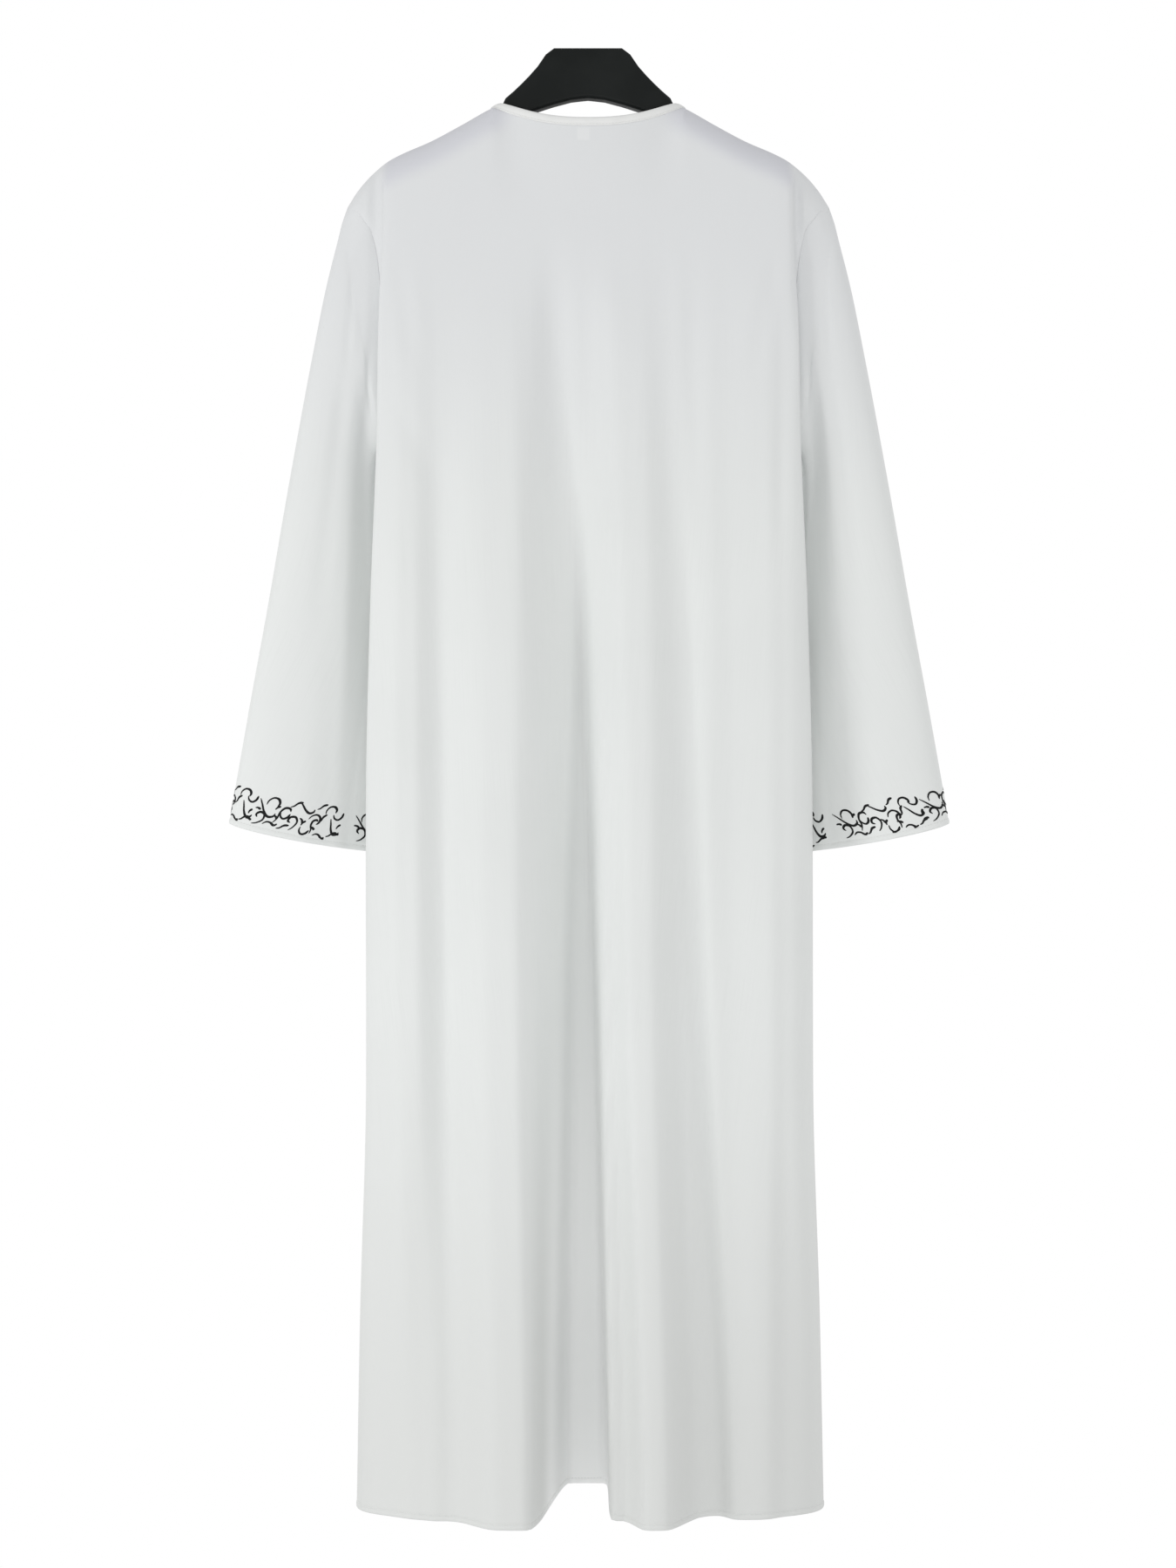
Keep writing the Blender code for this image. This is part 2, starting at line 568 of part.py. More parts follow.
def cut_slit(bm, verts, columns, middle, last_row):
    """Opens the front's middle line from the neck down to a row, as a narrow V."""
    line = [verts[r * columns + middle] for r in range(last_row + 1)]
    edges = [bm.edges.get(pair) for pair in zip(line, line[1:])]
    opening = {tuple(v.co): v for v in line}
    bottom, top = line[-1].co.z, line[0].co.z
    bmesh.ops.split_edges(bm, edges=edges)
    bm.verts.ensure_lookup_table()
    for vert in bm.verts:
        if tuple(vert.co) in opening and vert.co.z > bottom:
            centre = sum((f.calc_center_median().x for f in vert.link_faces)) / len(vert.link_faces)
            share = (vert.co.z - bottom) / (top - bottom)
            vert.co.x += math.copysign(SLIT_TOP_GAP / 2 * share, centre - vert.co.x)


def neck_stops(back, front):
    """The neck edge's points as (sheet, column), from the slit's left side round to its right."""
    left_front = [(front, front["middle"] - c) for c in range(NECK_COLUMNS)]
    whole_back = [(back, back["middle"] + c) for c in range(-NECK_COLUMNS, NECK_COLUMNS + 1)]
    right_front = [(front, front["middle"] + c) for c in range(NECK_COLUMNS - 1, -1, -1)]
    return left_front + whole_back + right_front


def neck_frames(back, front):
    """Points, upward and outward directions along the neck edge.

    The edge stands upright at its middles and leans in over the hanger at the shoulder seams.
    """
    stops = neck_stops(back, front)
    points = np.array([sheet["points"][0, c] for sheet, c in stops])
    tangents = np.gradient(points, axis=0)
    tangents /= np.linalg.norm(tangents, axis=1, keepdims=True)
    lean = NECK_LEAN * (np.abs(points[:, 0]) / NECK_X) ** NECK_LEAN_POWER
    up = np.stack([-np.sign(points[:, 0]) * lean, np.zeros_like(lean), np.ones_like(lean)], axis=1)
    up -= (up * tangents).sum(1, keepdims=True) * tangents
    up /= np.linalg.norm(up, axis=1, keepdims=True)
    outward = np.cross(tangents, up)
    outward *= np.sign((outward * points * (1, 1, 0)).sum(1, keepdims=True))
    return stops, points, up, outward


def even_neck_normals(back, front):
    """Gives the panels' neck edge the directions of the binding that is sewn on it."""
    stops, _, _, outward = neck_frames(back, front)
    for (sheet, c), normal in zip(stops, outward):
        sheet["normals"][0, c] = normal
    for c in (-NECK_COLUMNS, NECK_COLUMNS):
        front["normals"][0, front["middle"] + c] = back["normals"][0, back["middle"] + c]


def neck_binding(back, front):
    """A strip of bias tape along the whole neck edge, from one side of the slit to the other."""
    _, points, up, normals = neck_frames(back, front)
    points[0, 0] += SLIT_TOP_GAP / 2
    points[-1, 0] -= SLIT_TOP_GAP / 2
    corners = (
        # up the edge, out of the cloth
        (SEAM_GAP, BINDING_PROUD),
        (BINDING_WIDTH / 2, BINDING_PROUD * BINDING_CROWN),
        (BINDING_WIDTH - BINDING_BEVEL, BINDING_PROUD),
        (BINDING_WIDTH, BINDING_PROUD - BINDING_THICK / 2),
        (BINDING_WIDTH - BINDING_BEVEL, BINDING_PROUD - BINDING_THICK),
        (SEAM_GAP, BINDING_PROUD - BINDING_THICK),
    )
    bm = bmesh.new()
    loops = []
    for p, u, n in zip(points, up, normals):
        loops.append([bm.verts.new(p + u * along + n * out) for along, out in corners])
    for first, second in zip(loops, loops[1:]):
        for i in range(len(corners)):
            j = (i + 1) % len(corners)
            bm.faces.new((first[i], first[j], second[j], second[i]))
    bm.faces.new(loops[0])
    bm.faces.new(loops[-1])
    return add_object("neck_binding", bm, "binding cloth")


def hanger():
    """The broad hanger: rounded sections from the end of one arm to the end of the other."""
    half = [(x, top, *rest) for x, top, *rest in HANGER_NECK]
    for x, sunk, *rest in HANGER_ARM:
        under_cloth = float(table_value(SHOULDER_LINE, 1, x)) + CLOTH * SLOPED_WALL + HANGER_GAP
        half.append((x, under_cloth + sunk, *rest))
    sections = [(-x, *rest) for x, *rest in half[:0:-1]] + half
    bm = bmesh.new()
    rings = []
    for x, top, height, thick, round_across, round_down in sections:
        ring = []
        for y_way, z_way, first in ((1, 1, 0), (-1, 1, 90), (-1, -1, 180), (1, -1, 270)):
            across, down = (round_across, round_down) if z_way > 0 else (HANGER_EDGE, HANGER_EDGE)
            centre_y = y_way * (thick - across)
            centre_z = -(top + down) if z_way > 0 else -(top + height - down)
            for step in range(HANGER_CORNER_STEPS + 1):
                angle = math.radians(first + 90 * step / HANGER_CORNER_STEPS)
                point = (x, centre_y + across * math.cos(angle), centre_z + down * math.sin(angle))
                ring.append(bm.verts.new(point))
        rings.append(ring)
    count = len(rings[0])
    for first, second in zip(rings, rings[1:]):
        for i in range(count):
            j = (i + 1) % count
            bm.faces.new((first[i], first[j], second[j], second[i]))
    bm.faces.new(rings[0])
    bm.faces.new(rings[-1])
    return add_object("hanger", bm, "black plastic")


def neck_label(back):
    """A bare folded tape inside the back of the neck, laid on the inside of the back's middle."""
    column = back["points"][:, back["middle"]]
    top_z = column[0, 2] - LABEL_BELOW_EDGE
    bm = bmesh.new()
    loops = []
    for share in (0, 0.5, 1):
        z = top_z - share * LABEL_HEIGHT
        surface_y = np.interp(-z, -column[:, 2], column[:, 1]) - CLOTH * SLOPED_WALL - SEAM_GAP
        corners = ((1, 0), (1, -LABEL_THICK), (-1, -LABEL_THICK), (-1, 0))
        places = [(LABEL_X + way * LABEL_WIDTH / 2, surface_y + y, z) for way, y in corners]
        loops.append([bm.verts.new(place) for place in places])
    for first, second in zip(loops, loops[1:]):
        for i in range(4):
            j = (i + 1) % 4
            bm.faces.new((first[i], first[j], second[j], second[i]))
    bm.faces.new(loops[0])
    bm.faces.new(loops[-1])
    return add_object("neck_label", bm, "label tape")


def build():
    for old in list(bpy.data.objects):
        bpy.data.objects.remove(old)
    back_panel = Panel(1, BACK_LEVELS, BACK_FOLDS, NECK_BACK_DROP, NECK_BACK_Y)
    front_panel = Panel(-1, FRONT_LEVELS, FRONT_FOLDS, NECK_FRONT_DROP, NECK_FRONT_Y)
    grids = {"back": (back_panel.grid(), 1), "front": (front_panel.grid(), -1)}
    sheets = {}
    for name, (points, outward) in grids.items():
        sheets[name] = {"points": points, "closed": False, "outward": outward}
    for name, hand in (("sleeve_left", 1), ("sleeve_right", -1)):
        points = sleeve_grid(grids["back"][0], grids["front"][0], hand)
        sheets[name] = {"points": points, "closed": True, "outward": hand}
    for sheet in sheets.values():
        sheet["points"][..., 0] += SWAY * sheet["points"][..., 2] / HEM_DROP
        sheet["normals"] = grid_normals(sheet["points"], sheet["closed"], sheet["outward"])
    share_seam_normals(sheets.values())
    sheets["back"]["middle"], sheets["front"]["middle"] = back_panel.middle, front_panel.middle
    even_neck_normals(sheets["back"], sheets["front"])
    neck_binding(sheets["back"], sheets["front"])
    neck_label(sheets["back"])
    for sheet in sheets.values():
        open_seams(sheet)
    cloth_from_sheet("back", sheets["back"])
    cloth_from_sheet("front", sheets["front"], slit=(front_panel.middle, ARMHOLE_SHARES.index(SLIT_END)))
    cloth_from_sheet("sleeve_left", sheets["sleeve_left"])
    cloth_from_sheet("sleeve_right", sheets["sleeve_right"])
    hanger()


build()
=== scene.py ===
# %% [markdown]
# # A white thobe robe on a black hanger
#
# The real robe is five cut pieces: a back, a front, two sleeves and a strip round the neck. It is
# seen from behind, hung on a broad hanger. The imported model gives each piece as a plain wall. This
# script gives the cloth its folds, seams, hems, stitches, embroidery and weave.

# %% The frame and its box
import math
import random

import bmesh
import bpy
import numpy as np
from mathutils import Matrix, Vector


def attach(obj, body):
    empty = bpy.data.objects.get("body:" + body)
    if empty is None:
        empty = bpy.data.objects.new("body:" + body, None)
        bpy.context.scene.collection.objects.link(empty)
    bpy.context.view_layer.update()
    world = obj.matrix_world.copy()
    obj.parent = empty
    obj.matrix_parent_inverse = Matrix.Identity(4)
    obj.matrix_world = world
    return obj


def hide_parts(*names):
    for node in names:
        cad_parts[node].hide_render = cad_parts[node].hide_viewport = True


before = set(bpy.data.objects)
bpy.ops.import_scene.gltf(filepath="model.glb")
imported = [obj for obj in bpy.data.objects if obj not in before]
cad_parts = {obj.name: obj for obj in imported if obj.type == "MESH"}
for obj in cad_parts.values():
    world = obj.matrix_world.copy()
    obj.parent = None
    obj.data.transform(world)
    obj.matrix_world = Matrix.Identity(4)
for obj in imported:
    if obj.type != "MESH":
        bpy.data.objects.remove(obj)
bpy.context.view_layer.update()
print("solid pieces:", sorted(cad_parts))

# %% [markdown]
# ## Sizes
#
# Lengths are metres and a drop is a distance below the hanger's flat top. The tables are the robe's
# pattern: where its shoulder line, armholes and side seams run, and how deep each hanging fold is.
# The solids follow the same tables with wide steps, and here the cloth is read from them finely.

# %% Sizes of the cloth
CLOTH = 0.0009           # thickness of the shown cloth
SHOULDER_X = 0.2375      # half the width between the tops of the armholes
UNDERARM_DROP = 0.385
HEM_DROP = 1.4425
NECK_X = 0.0955          # half the neck's width at the shoulder seams
NECK_BACK_DROP = 0.0820
NECK_BACK_Y = 0.0300
NECK_FRONT_DROP = 0.1480
NECK_FRONT_Y = -0.0360
NECK_SQUARENESS = 2.6    # power of the neck's oval, seen from above
NECK_DIP = 2.4           # and of its dip between the shoulder seams
SLIT_TOP_GAP = 0.0070
SLIT_END = 0.52          # its lower end, as a share of the way down the armhole
NECK_LEAN = 2.2          # slope to which the binding leans in at the shoulder seams
NECK_LEAN_POWER = 6
SHOULDER_ROUND = 0.0320  # the drop in which the cloth turns over the hanger's arm
NECK_EASE = 0.1000       # and in which it leaves the neck's shape, where no arm holds it
ON_ARM = 0.060           # from here out to the neck point the first takes over
CUFF_SAG = 0.0060        # how far a cuff's middle hangs below its two ends
TOP_SPREAD = 0.09        # share of the armhole in which a row reaches its own width
TURN_PULL = 1.5          # how round a row's turn to the side seam is
SLEEVE_BLEND = 0.15      # share of a sleeve in which it leaves the armhole's shape
FOLD_GROWTH = 0.10       # the drop in which a fold fades in at its start
FLAT_GROWTH = 2          # power with which its flat middle widens
FOLD_KEEP = 0.86         # share of a row's width that the folds reach in full
SWAY = 0.0022            # how far the hem hangs to one side
HEM_RISE = 0.10          # share of a fold's depth by which it lifts the hem
SEAM_KEEP = 0.016        # an edge crease fades out this near the side seam, which stays shut

SHOULDER_LINE = (
    # out,   drop
    (0.0000, 0.0200),
    (0.0955, 0.0590),
    (0.1250, 0.0755),
    (0.1550, 0.0915),
    (0.1850, 0.1045),
    (0.2000, 0.1125),
    (0.2150, 0.1250),
    (0.2300, 0.1430),
    (0.2375, 0.1560),
)
ARMHOLE_LINE = (
    # drop,  out,    half
    (0.1560, 0.2375, 0.0000),
    (0.1600, 0.2358, 0.0060),
    (0.1680, 0.2318, 0.0095),
    (0.1890, 0.2225, 0.0130),
    (0.2085, 0.2130, 0.0135),
    (0.2390, 0.2068, 0.0130),
    (0.2800, 0.2030, 0.0120),
    (0.3400, 0.1990, 0.0100),
    (0.3700, 0.1980, 0.0075),
    (0.3850, 0.1980, 0.0000),
)
BACK_LEVELS = (
    # drop,  edge_x, edge_y,  plane_y, squareness
    (0.1560, 0.2020, 0.0150, 0.0265, 5.0),
    (0.2000, 0.2015, 0.0200, 0.0270, 5.0),
    (0.2950, 0.2060, 0.0200, 0.0290, 4.5),
    (0.3850, 0.2080, 0.0150, 0.0300, 4.2),
    (0.5500, 0.2150, 0.0080, 0.0320, 3.8),
    (0.7500, 0.2200, 0.0020, 0.0340, 3.4),
    (1.0200, 0.2210, -0.0080, 0.0350, 3.2),
    (1.2500, 0.2280, -0.0180, 0.0355, 3.1),
    (1.4425, 0.2325, -0.0300, 0.0360, 3.0),
)
FRONT_LEVELS = (
    # drop,  edge_x, edge_y,  plane_y, squareness
    (0.1560, 0.2040, -0.0150, -0.0265, 4.0),
    (0.2000, 0.2010, -0.0200, -0.0300, 4.0),
    (0.2950, 0.2020, -0.0210, -0.0360, 3.4),
    (0.3850, 0.2030, -0.0200, -0.0400, 2.8),
    (0.5500, 0.2110, -0.0140, -0.0500, 2.3),
    (0.7500, 0.2190, -0.0050, -0.0600, 2.2),
    (1.0200, 0.2210, -0.0080, -0.0740, 2.4),
    (1.2500, 0.2280, -0.0180, -0.0860, 2.6),
    (1.4425, 0.2325, -0.0300, -0.0960, 2.8),
)
SIDE_SEAM = (
    # drop,  out,    y
    (0.1560, 0.1980, 0.0000),
    (0.3850, 0.1980, -0.0020),
    (0.5000, 0.2060, -0.0040),
    (0.6500, 0.2165, -0.0020),
    (0.7500, 0.2200, -0.0010),
    (1.0200, 0.2210, -0.0080),
    (1.2500, 0.2280, -0.0180),
    (1.4425, 0.2325, -0.0300),
)
SLEEVE_STATIONS = (
    # outer_drop, outer_x, outer_y, inner_x, inner_y, inner_drop, half_thick
    (0.1560, 0.2375, 0.0000, 0.1980, -0.0020, 0.3850, 0.0120),
    (0.1700, 0.2425, 0.0000, 0.2030, -0.0040, 0.3880, 0.0150),
    (0.1900, 0.2475, 0.0000, 0.2075, -0.0080, 0.3930, 0.0180),
    (0.2350, 0.2588, 0.0000, 0.2115, -0.0170, 0.4080, 0.0215),
    (0.3120, 0.2744, -0.0010, 0.2130, -0.0280, 0.4450, 0.0240),
    (0.4410, 0.2984, -0.0030, 0.2080, -0.0390, 0.5400, 0.0255),
    (0.5440, 0.3165, -0.0050, 0.2030, -0.0460, 0.6200, 0.0265),
    (0.6480, 0.3358, -0.0070, 0.1980, -0.0510, 0.7020, 0.0275),
    (0.7635, 0.3565, -0.0090, 0.1950, -0.0540, 0.7920, 0.0285),
)
print("robe:", round((HEM_DROP - SHOULDER_LINE[1][1]) * 100), "cm from the neck point to the hem")

# %% [markdown]
# ## Folds
#
# A hung robe of light cloth folds in a few long soft pleats that start below the shoulders and
# deepen to the hem. They are placed one by one from a row of sizes each, because a simulated cloth
# would fold in its own way. Past its flat middle a fold fades out over a width on either side.

# %% The large folds, as in the solids
FOLD_COLUMNS = (
    "start", "x_top", "x_mid", "x_hem", "left_top", "left", "right_top", "right",
    "flat_top", "flat", "depth", "lean", "growth",
)
BACK_FOLDS = {
    "middle valley": (
        0.165, 0.031, 0.012, 0.0155, 0.054, 0.024, 0.026, 0.02, 0.0, 0.018, 0.101, 0.0125, 1.25,
    ),
    "right valley": (
        0.15, -0.072, -0.096, -0.118, 0.024, 0.03, 0.018, 0.024, 0.002, 0.002, 0.011, 0.004, 0.7,
    ),
    "left valley": (
        0.34, 0.146, 0.14, 0.172, 0.03, 0.036, 0.03, 0.036, 0.002, 0.002, 0.005, 0.002, 0.3,
    ),
    "left ridge": (
        0.2, 0.088, 0.086, 0.076, 0.04, 0.056, 0.03, 0.03, 0.012, 0.012, -0.034, 0.0, 1.1,
    ),
    "right ridge": (
        0.2, -0.04, -0.048, -0.063, 0.022, 0.024, 0.034, 0.034, 0.008, 0.008, -0.034, 0.0, 1.1,
    ),
    "left side swell": (
        0.18, 0.178, 0.178, 0.165, 0.022, 0.036, 0.024, 0.04, 0.006, 0.006, -0.011, 0.0, 0.6,
    ),
    "right side swell": (
        0.18, -0.168, -0.172, -0.17, 0.034, 0.04, 0.02, 0.02, 0.002, 0.002, -0.005, 0.0, 0.3,
    ),
}
FRONT_FOLDS = {
    "middle ridge": (
        0.3, 0.014, 0.016, 0.022, 0.036, 0.056, 0.03, 0.044, 0.006, 0.006, -0.03, 0.0, 1.0,
    ),
    "left valley": (
        0.26, 0.076, 0.088, 0.096, 0.028, 0.04, 0.03, 0.044, 0.004, 0.004, 0.042, -0.01, 1.2,
    ),
    "right valley": (
        0.22, -0.07, -0.068, -0.072, 0.034, 0.044, 0.026, 0.036, 0.004, 0.004, 0.034, 0.012, 1.1,
    ),
    "left ridge": (
        0.3, 0.144, 0.148, 0.154, 0.02, 0.03, 0.022, 0.032, 0.004, 0.004, -0.015, 0.0, 1.0,
    ),
    "right ridge": (
        0.3, -0.124, -0.128, -0.132, 0.026, 0.034, 0.026, 0.036, 0.006, 0.006, -0.022, 0.0, 1.0,
    ),
}
print("large folds:", len(BACK_FOLDS) + len(FRONT_FOLDS))

# %% [markdown]
# ## Creases
#
# Between its large folds real cloth has faint creases, where a seam or its own weight pulls it.
# They could be a bump in the material, but only a true form also shows at the edge of the robe and
# under light from the side. A crease runs from one place to another, is deepest between them, and
# goes into the body, or out of it where its depth is below zero.

# %% The creases between the folds
BACK_CREASES = (
    # x_from, drop_from, x_to, drop_to, half_width, depth
    (0.1900, 0.190, 0.1720, 0.330, 0.0090, 0.0013),
    (-0.1840, 0.185, -0.1600, 0.350, 0.0080, 0.0011),
    (-0.1960, 0.240, -0.1880, 0.520, 0.0070, 0.0016),
    (0.1930, 0.330, 0.1500, 0.450, 0.0110, 0.0010),
    (0.0340, 0.165, 0.0300, 0.600, 0.0120, 0.0060),
    (0.0050, 0.175, 0.0010, 0.740, 0.0145, 0.0105),
    (0.0040, 0.360, 0.0000, 0.860, 0.0125, 0.0050),
    (-0.1000, 0.150, -0.1040, 0.750, 0.0100, 0.0032),
    (0.1500, 0.300, 0.1460, 1.250, 0.0110, 0.0030),
    (-0.0150, 0.210, -0.0300, 0.330, 0.0140, -0.0008),
    (-0.1050, 0.260, -0.1180, 0.760, 0.0140, -0.0012),
    (0.1180, 0.420, 0.1060, 0.980, 0.0160, 0.0010),
    (-0.1420, 0.600, -0.1560, 1.180, 0.0150, 0.0013),
    (0.1900, 0.700, 0.1860, 1.250, 0.0130, 0.0012),
    (0.0600, 0.820, 0.0480, 1.300, 0.0110, -0.0011),
    (-0.0800, 0.900, -0.0900, 1.390, 0.0120, 0.0012),
    (0.1250, 1.050, 0.1290, 1.430, 0.0130, 0.0015),
    (-0.1930, 1.000, -0.2020, 1.430, 0.0130, 0.0014),
)
FRONT_CREASES = (
    # x_from, drop_from, x_to, drop_to, half_width, depth
    (0.1880, 0.195, 0.1640, 0.340, 0.0090, 0.0014),
    (-0.1900, 0.190, -0.1700, 0.320, 0.0090, 0.0012),
    (-0.1930, 0.350, -0.1460, 0.480, 0.0110, 0.0011),
    (0.0300, 0.220, 0.0420, 0.460, 0.0120, 0.0012),
    (-0.0280, 0.240, -0.0360, 0.520, 0.0120, 0.0010),
    (0.1160, 0.340, 0.1240, 0.900, 0.0150, 0.0013),
    (-0.1000, 0.420, -0.0960, 1.000, 0.0150, -0.0012),
    (0.0560, 0.700, 0.0620, 1.240, 0.0130, -0.0013),
    (-0.1620, 0.640, -0.1680, 1.200, 0.0140, 0.0012),
    (0.1820, 0.760, 0.1900, 1.400, 0.0130, 0.0013),
    (-0.0280, 0.950, -0.0240, 1.420, 0.0120, 0.0012),
)
# The cloth falls sharply off the end of each of the hanger's arms, and swells out beside it.
EDGE_CREASES = (
    # x_from, drop_from, x_to, drop_to, half_width, depth
    (0.2100, 0.080, 0.2110, 0.300, 0.0040, 0.0028),
    (-0.2045, 0.080, -0.2055, 0.300, 0.0040, 0.0036),
    (-0.1940, 0.120, -0.1990, 1.420, 0.0170, -0.0045),
    (0.1970, 0.120, 0.1990, 1.420, 0.0120, -0.0022),
)
# The sleeve's folds and creases: side +1 is its back and -1 its front, and across runs from 0 at
# its outer edge to 1 at its inner one. They grow from one share of its length to another.
SLEEVE_FOLDS = (
    # side, across, width, start, full, depth
    (1, 0.80, 0.22, 0.05, 0.30, 0.0050),
    (1, 0.62, 0.26, 0.70, 1.00, 0.0060),
    (-1, 0.30, 0.20, 0.10, 0.60, 0.0060),
    (-1, 0.72, 0.20, 0.30, 0.90, 0.0050),
)
SLEEVE_CREASES = (
    # side, across_from, at_from, across_to, at_to, half_width, depth
    (1, 0.62, 0.06, 0.78, 0.30, 0.050, 0.0014),
    (1, 0.30, 0.10, 0.42, 0.42, 0.060, 0.0010),
    (1, 0.46, 0.34, 0.36, 0.80, 0.070, 0.0012),
    (1, 0.86, 0.40, 0.80, 0.92, 0.050, 0.0011),
    (-1, 0.55, 0.08, 0.66, 0.36, 0.060, 0.0014),
    (-1, 0.40, 0.30, 0.50, 0.74, 0.070, 0.0012),
    (-1, 0.22, 0.50, 0.20, 0.96, 0.060, 0.0010),
)
print("creases:", len(BACK_CREASES + FRONT_CREASES + EDGE_CREASES + SLEEVE_CREASES))

# %% [markdown]
# ## Reading the tables
#
# A table gives few values, and the cloth needs hundreds. A monotone cubic curve through a column
# passes every given value and never overshoots between two, so a seam is as smooth as sewn cloth.

# %% Curves from the tables


def smooth_step(value):
    """0 below 0, 1 above 1, and an even curve between them."""
    value = np.clip(value, 0, 1)
    return value * value * (3 - 2 * value)


def table_value(table, column, at):
    """A column of a table at any value of its first column."""
    x = np.array([row[0] for row in table], float)
    y = np.array([row[column] for row in table], float)
    at = np.clip(np.asarray(at, float), x[0], x[-1])
    steps = np.diff(x)
    slopes = np.diff(y) / steps
    tangents = np.zeros_like(y)
    same_way = slopes[:-1] * slopes[1:] > 0
    w1 = 2 * steps[1:] + steps[:-1]
    w2 = steps[1:] + 2 * steps[:-1]
    safe = np.where(same_way, slopes[:-1] * slopes[1:], 1)
    harmonic = (w1 + w2) * safe / np.where(same_way, w1 * slopes[1:] + w2 * slopes[:-1], 1)
    tangents[1:-1] = np.where(same_way, harmonic, 0)
    tangents[0], tangents[-1] = slopes[0], slopes[-1]
    i = np.clip(np.searchsorted(x, at, side="right") - 1, 0, len(x) - 2)
    s = (at - x[i]) / steps[i]
    return (
        y[i] * (1 + 2 * s) * (1 - s) ** 2
        + y[i + 1] * s * s * (3 - 2 * s)
        + steps[i] * (tangents[i] * s * (1 - s) ** 2 + tangents[i + 1] * s * s * (s - 1))
    )


def table_row(table, at):
    """Every column of a table but its first, at one value of the first."""
    return [float(table_value(table, column, at)) for column in range(1, len(table[0]))]


def crease_depth(creases, across, down):
    """How deep the small creases are at places of a piece, each a soft trough along its line."""
    total = np.zeros_like(across)
    for across_from, down_from, across_to, down_to, half_width, depth in creases:
        along = (down - down_from) / (down_to - down_from)
        line = across_from + (across_to - across_from) * smooth_step(along)
        beside = 1 - smooth_step(np.abs(across - line) / (2 * half_width))
        total += depth * beside * smooth_step(3 * along) * smooth_step(3 * (1 - along))
    return total


print("shoulder at 15 cm out:", round(float(table_value(SHOULDER_LINE, 1, 0.15)), 4), "m down")

# %% [markdown]
# ## The pattern grid
#
# Rows run down the cloth and columns across it. They stand close together at the seams and hems,
# where the cloth turns within a few millimetres, and wide on the plain middle, so that the faces
# are spent where form is small.

# %% Rows and columns
NECK_COLUMNS = 22        # columns of half a panel within the neck's width
SIDE_COLUMNS = 52        # and from there to the side seam
SIDE_CROWDING = 1.35     # how much closer they stand at the side seam
ARMHOLE_SHARES = (0, 0.008, 0.022, 0.050, 0.09, 0.15, 0.25, 0.38, 0.52, 0.66, 0.79, 0.89, 0.96, 1)
STEPS_A_SHARE = 5        # rows between two of those shares
SKIRT_ROWS = 96
SLEEVE_RINGS = 78
HEM_WIDTH = 0.0052       # a narrow hem, turned twice
EDGE_ROWS = (0, 0.0006, 0.0016, 0.0028, 0.0040, 0.0048, 0.0052, 0.0058, 0.0070, 0.0095)


def with_edge_rows(count, length):
    """Even shares of a length, with the close rows of a hem at its end."""
    even = np.linspace(0, 1 - 2 * EDGE_ROWS[-1] / length, count)
    return np.concatenate([even, 1 - np.array(EDGE_ROWS[::-1]) / length])


last_share = len(ARMHOLE_SHARES) - 1
share_steps = np.linspace(0, last_share, last_share * STEPS_A_SHARE + 1)
ARMHOLE_ROWS = table_value(list(enumerate(ARMHOLE_SHARES)), 1, share_steps)
SKIRT_SHARES = with_edge_rows(SKIRT_ROWS, HEM_DROP - UNDERARM_DROP)
print("rows down a panel:", len(ARMHOLE_ROWS) + len(SKIRT_SHARES) - 1)

# %% [markdown]
# ## One level of the body
#
# At each level the hung robe is a flat oval: nearly plain across the back and turned in at the
# sides, where it meets the other panel. A superellipse gives both, with one power for how square it
# is. Above the underarm the row ends at the armhole, and below it at the side seam.

# %% The section of a panel
SECTION_POINTS = 400
TURN_POINTS = 80


def section(side, levels, side_drop, share):
    """One row before its folds: x and y, which points can be folded, and its widest x."""
    edge_x, edge_y, plane_y, squareness = table_row(levels, side_drop)
    seam_x, seam_y = table_row(SIDE_SEAM, side_drop)
    if share < 1:
        seam_x, half = table_row(ARMHOLE_LINE, side_drop)
        seam_y += side * half
    else:
        # A panel ends at the side seam and doesn't reach past it, so the two never cross.
        edge_y = side * max(side * edge_y, side * seam_y)
    # The power spaces the points evenly along x, for the folds near the middle.
    turn = math.pi / 2 * np.linspace(0, 1, SECTION_POINTS) ** (squareness / 2)
    main_x = edge_x * np.sin(turn) ** (2 / squareness)
    main_y = edge_y + (plane_y - edge_y) * np.maximum(np.cos(turn), 0) ** (2 / squareness)
    s = np.linspace(0, 1, TURN_POINTS)[1:]
    outwards = TURN_PULL * max(seam_x - edge_x, 0)
    inwards = -side * TURN_PULL * abs(edge_y - seam_y)
    h_start, h_end = (1 + 2 * s) * (1 - s) ** 2, s * s * (3 - 2 * s)
    t_start, t_end = s * (1 - s) ** 2, s * s * (s - 1)
    half_x = np.concatenate([main_x, edge_x * h_start + seam_x * h_end + outwards * t_end])
    turn_y = edge_y * h_start + seam_y * h_end + inwards * (t_start + t_end)
    half_y = np.concatenate([main_y, turn_y])
    on_main = np.arange(len(half_x)) < SECTION_POINTS
    x = np.concatenate([half_x[::-1], -half_x[1:]])
    y = np.concatenate([half_y[::-1], half_y[1:]])
    return x, y, np.concatenate([on_main[::-1], on_main[1:]]), edge_x


widest = section(1, BACK_LEVELS, HEM_DROP, 1)[3]
print("the back's hem is", round(2 * widest, 3), "m wide")

# %% [markdown]
# ## Folds in a row
#
# Each fold moves the points of a row into the body and a little to one side, and it fades out
# before the side seam, which holds the cloth flat. Adding the folds up is simple, and it lets two
# of them meet softly, as they do in cloth.

# %% What the folds do to a row


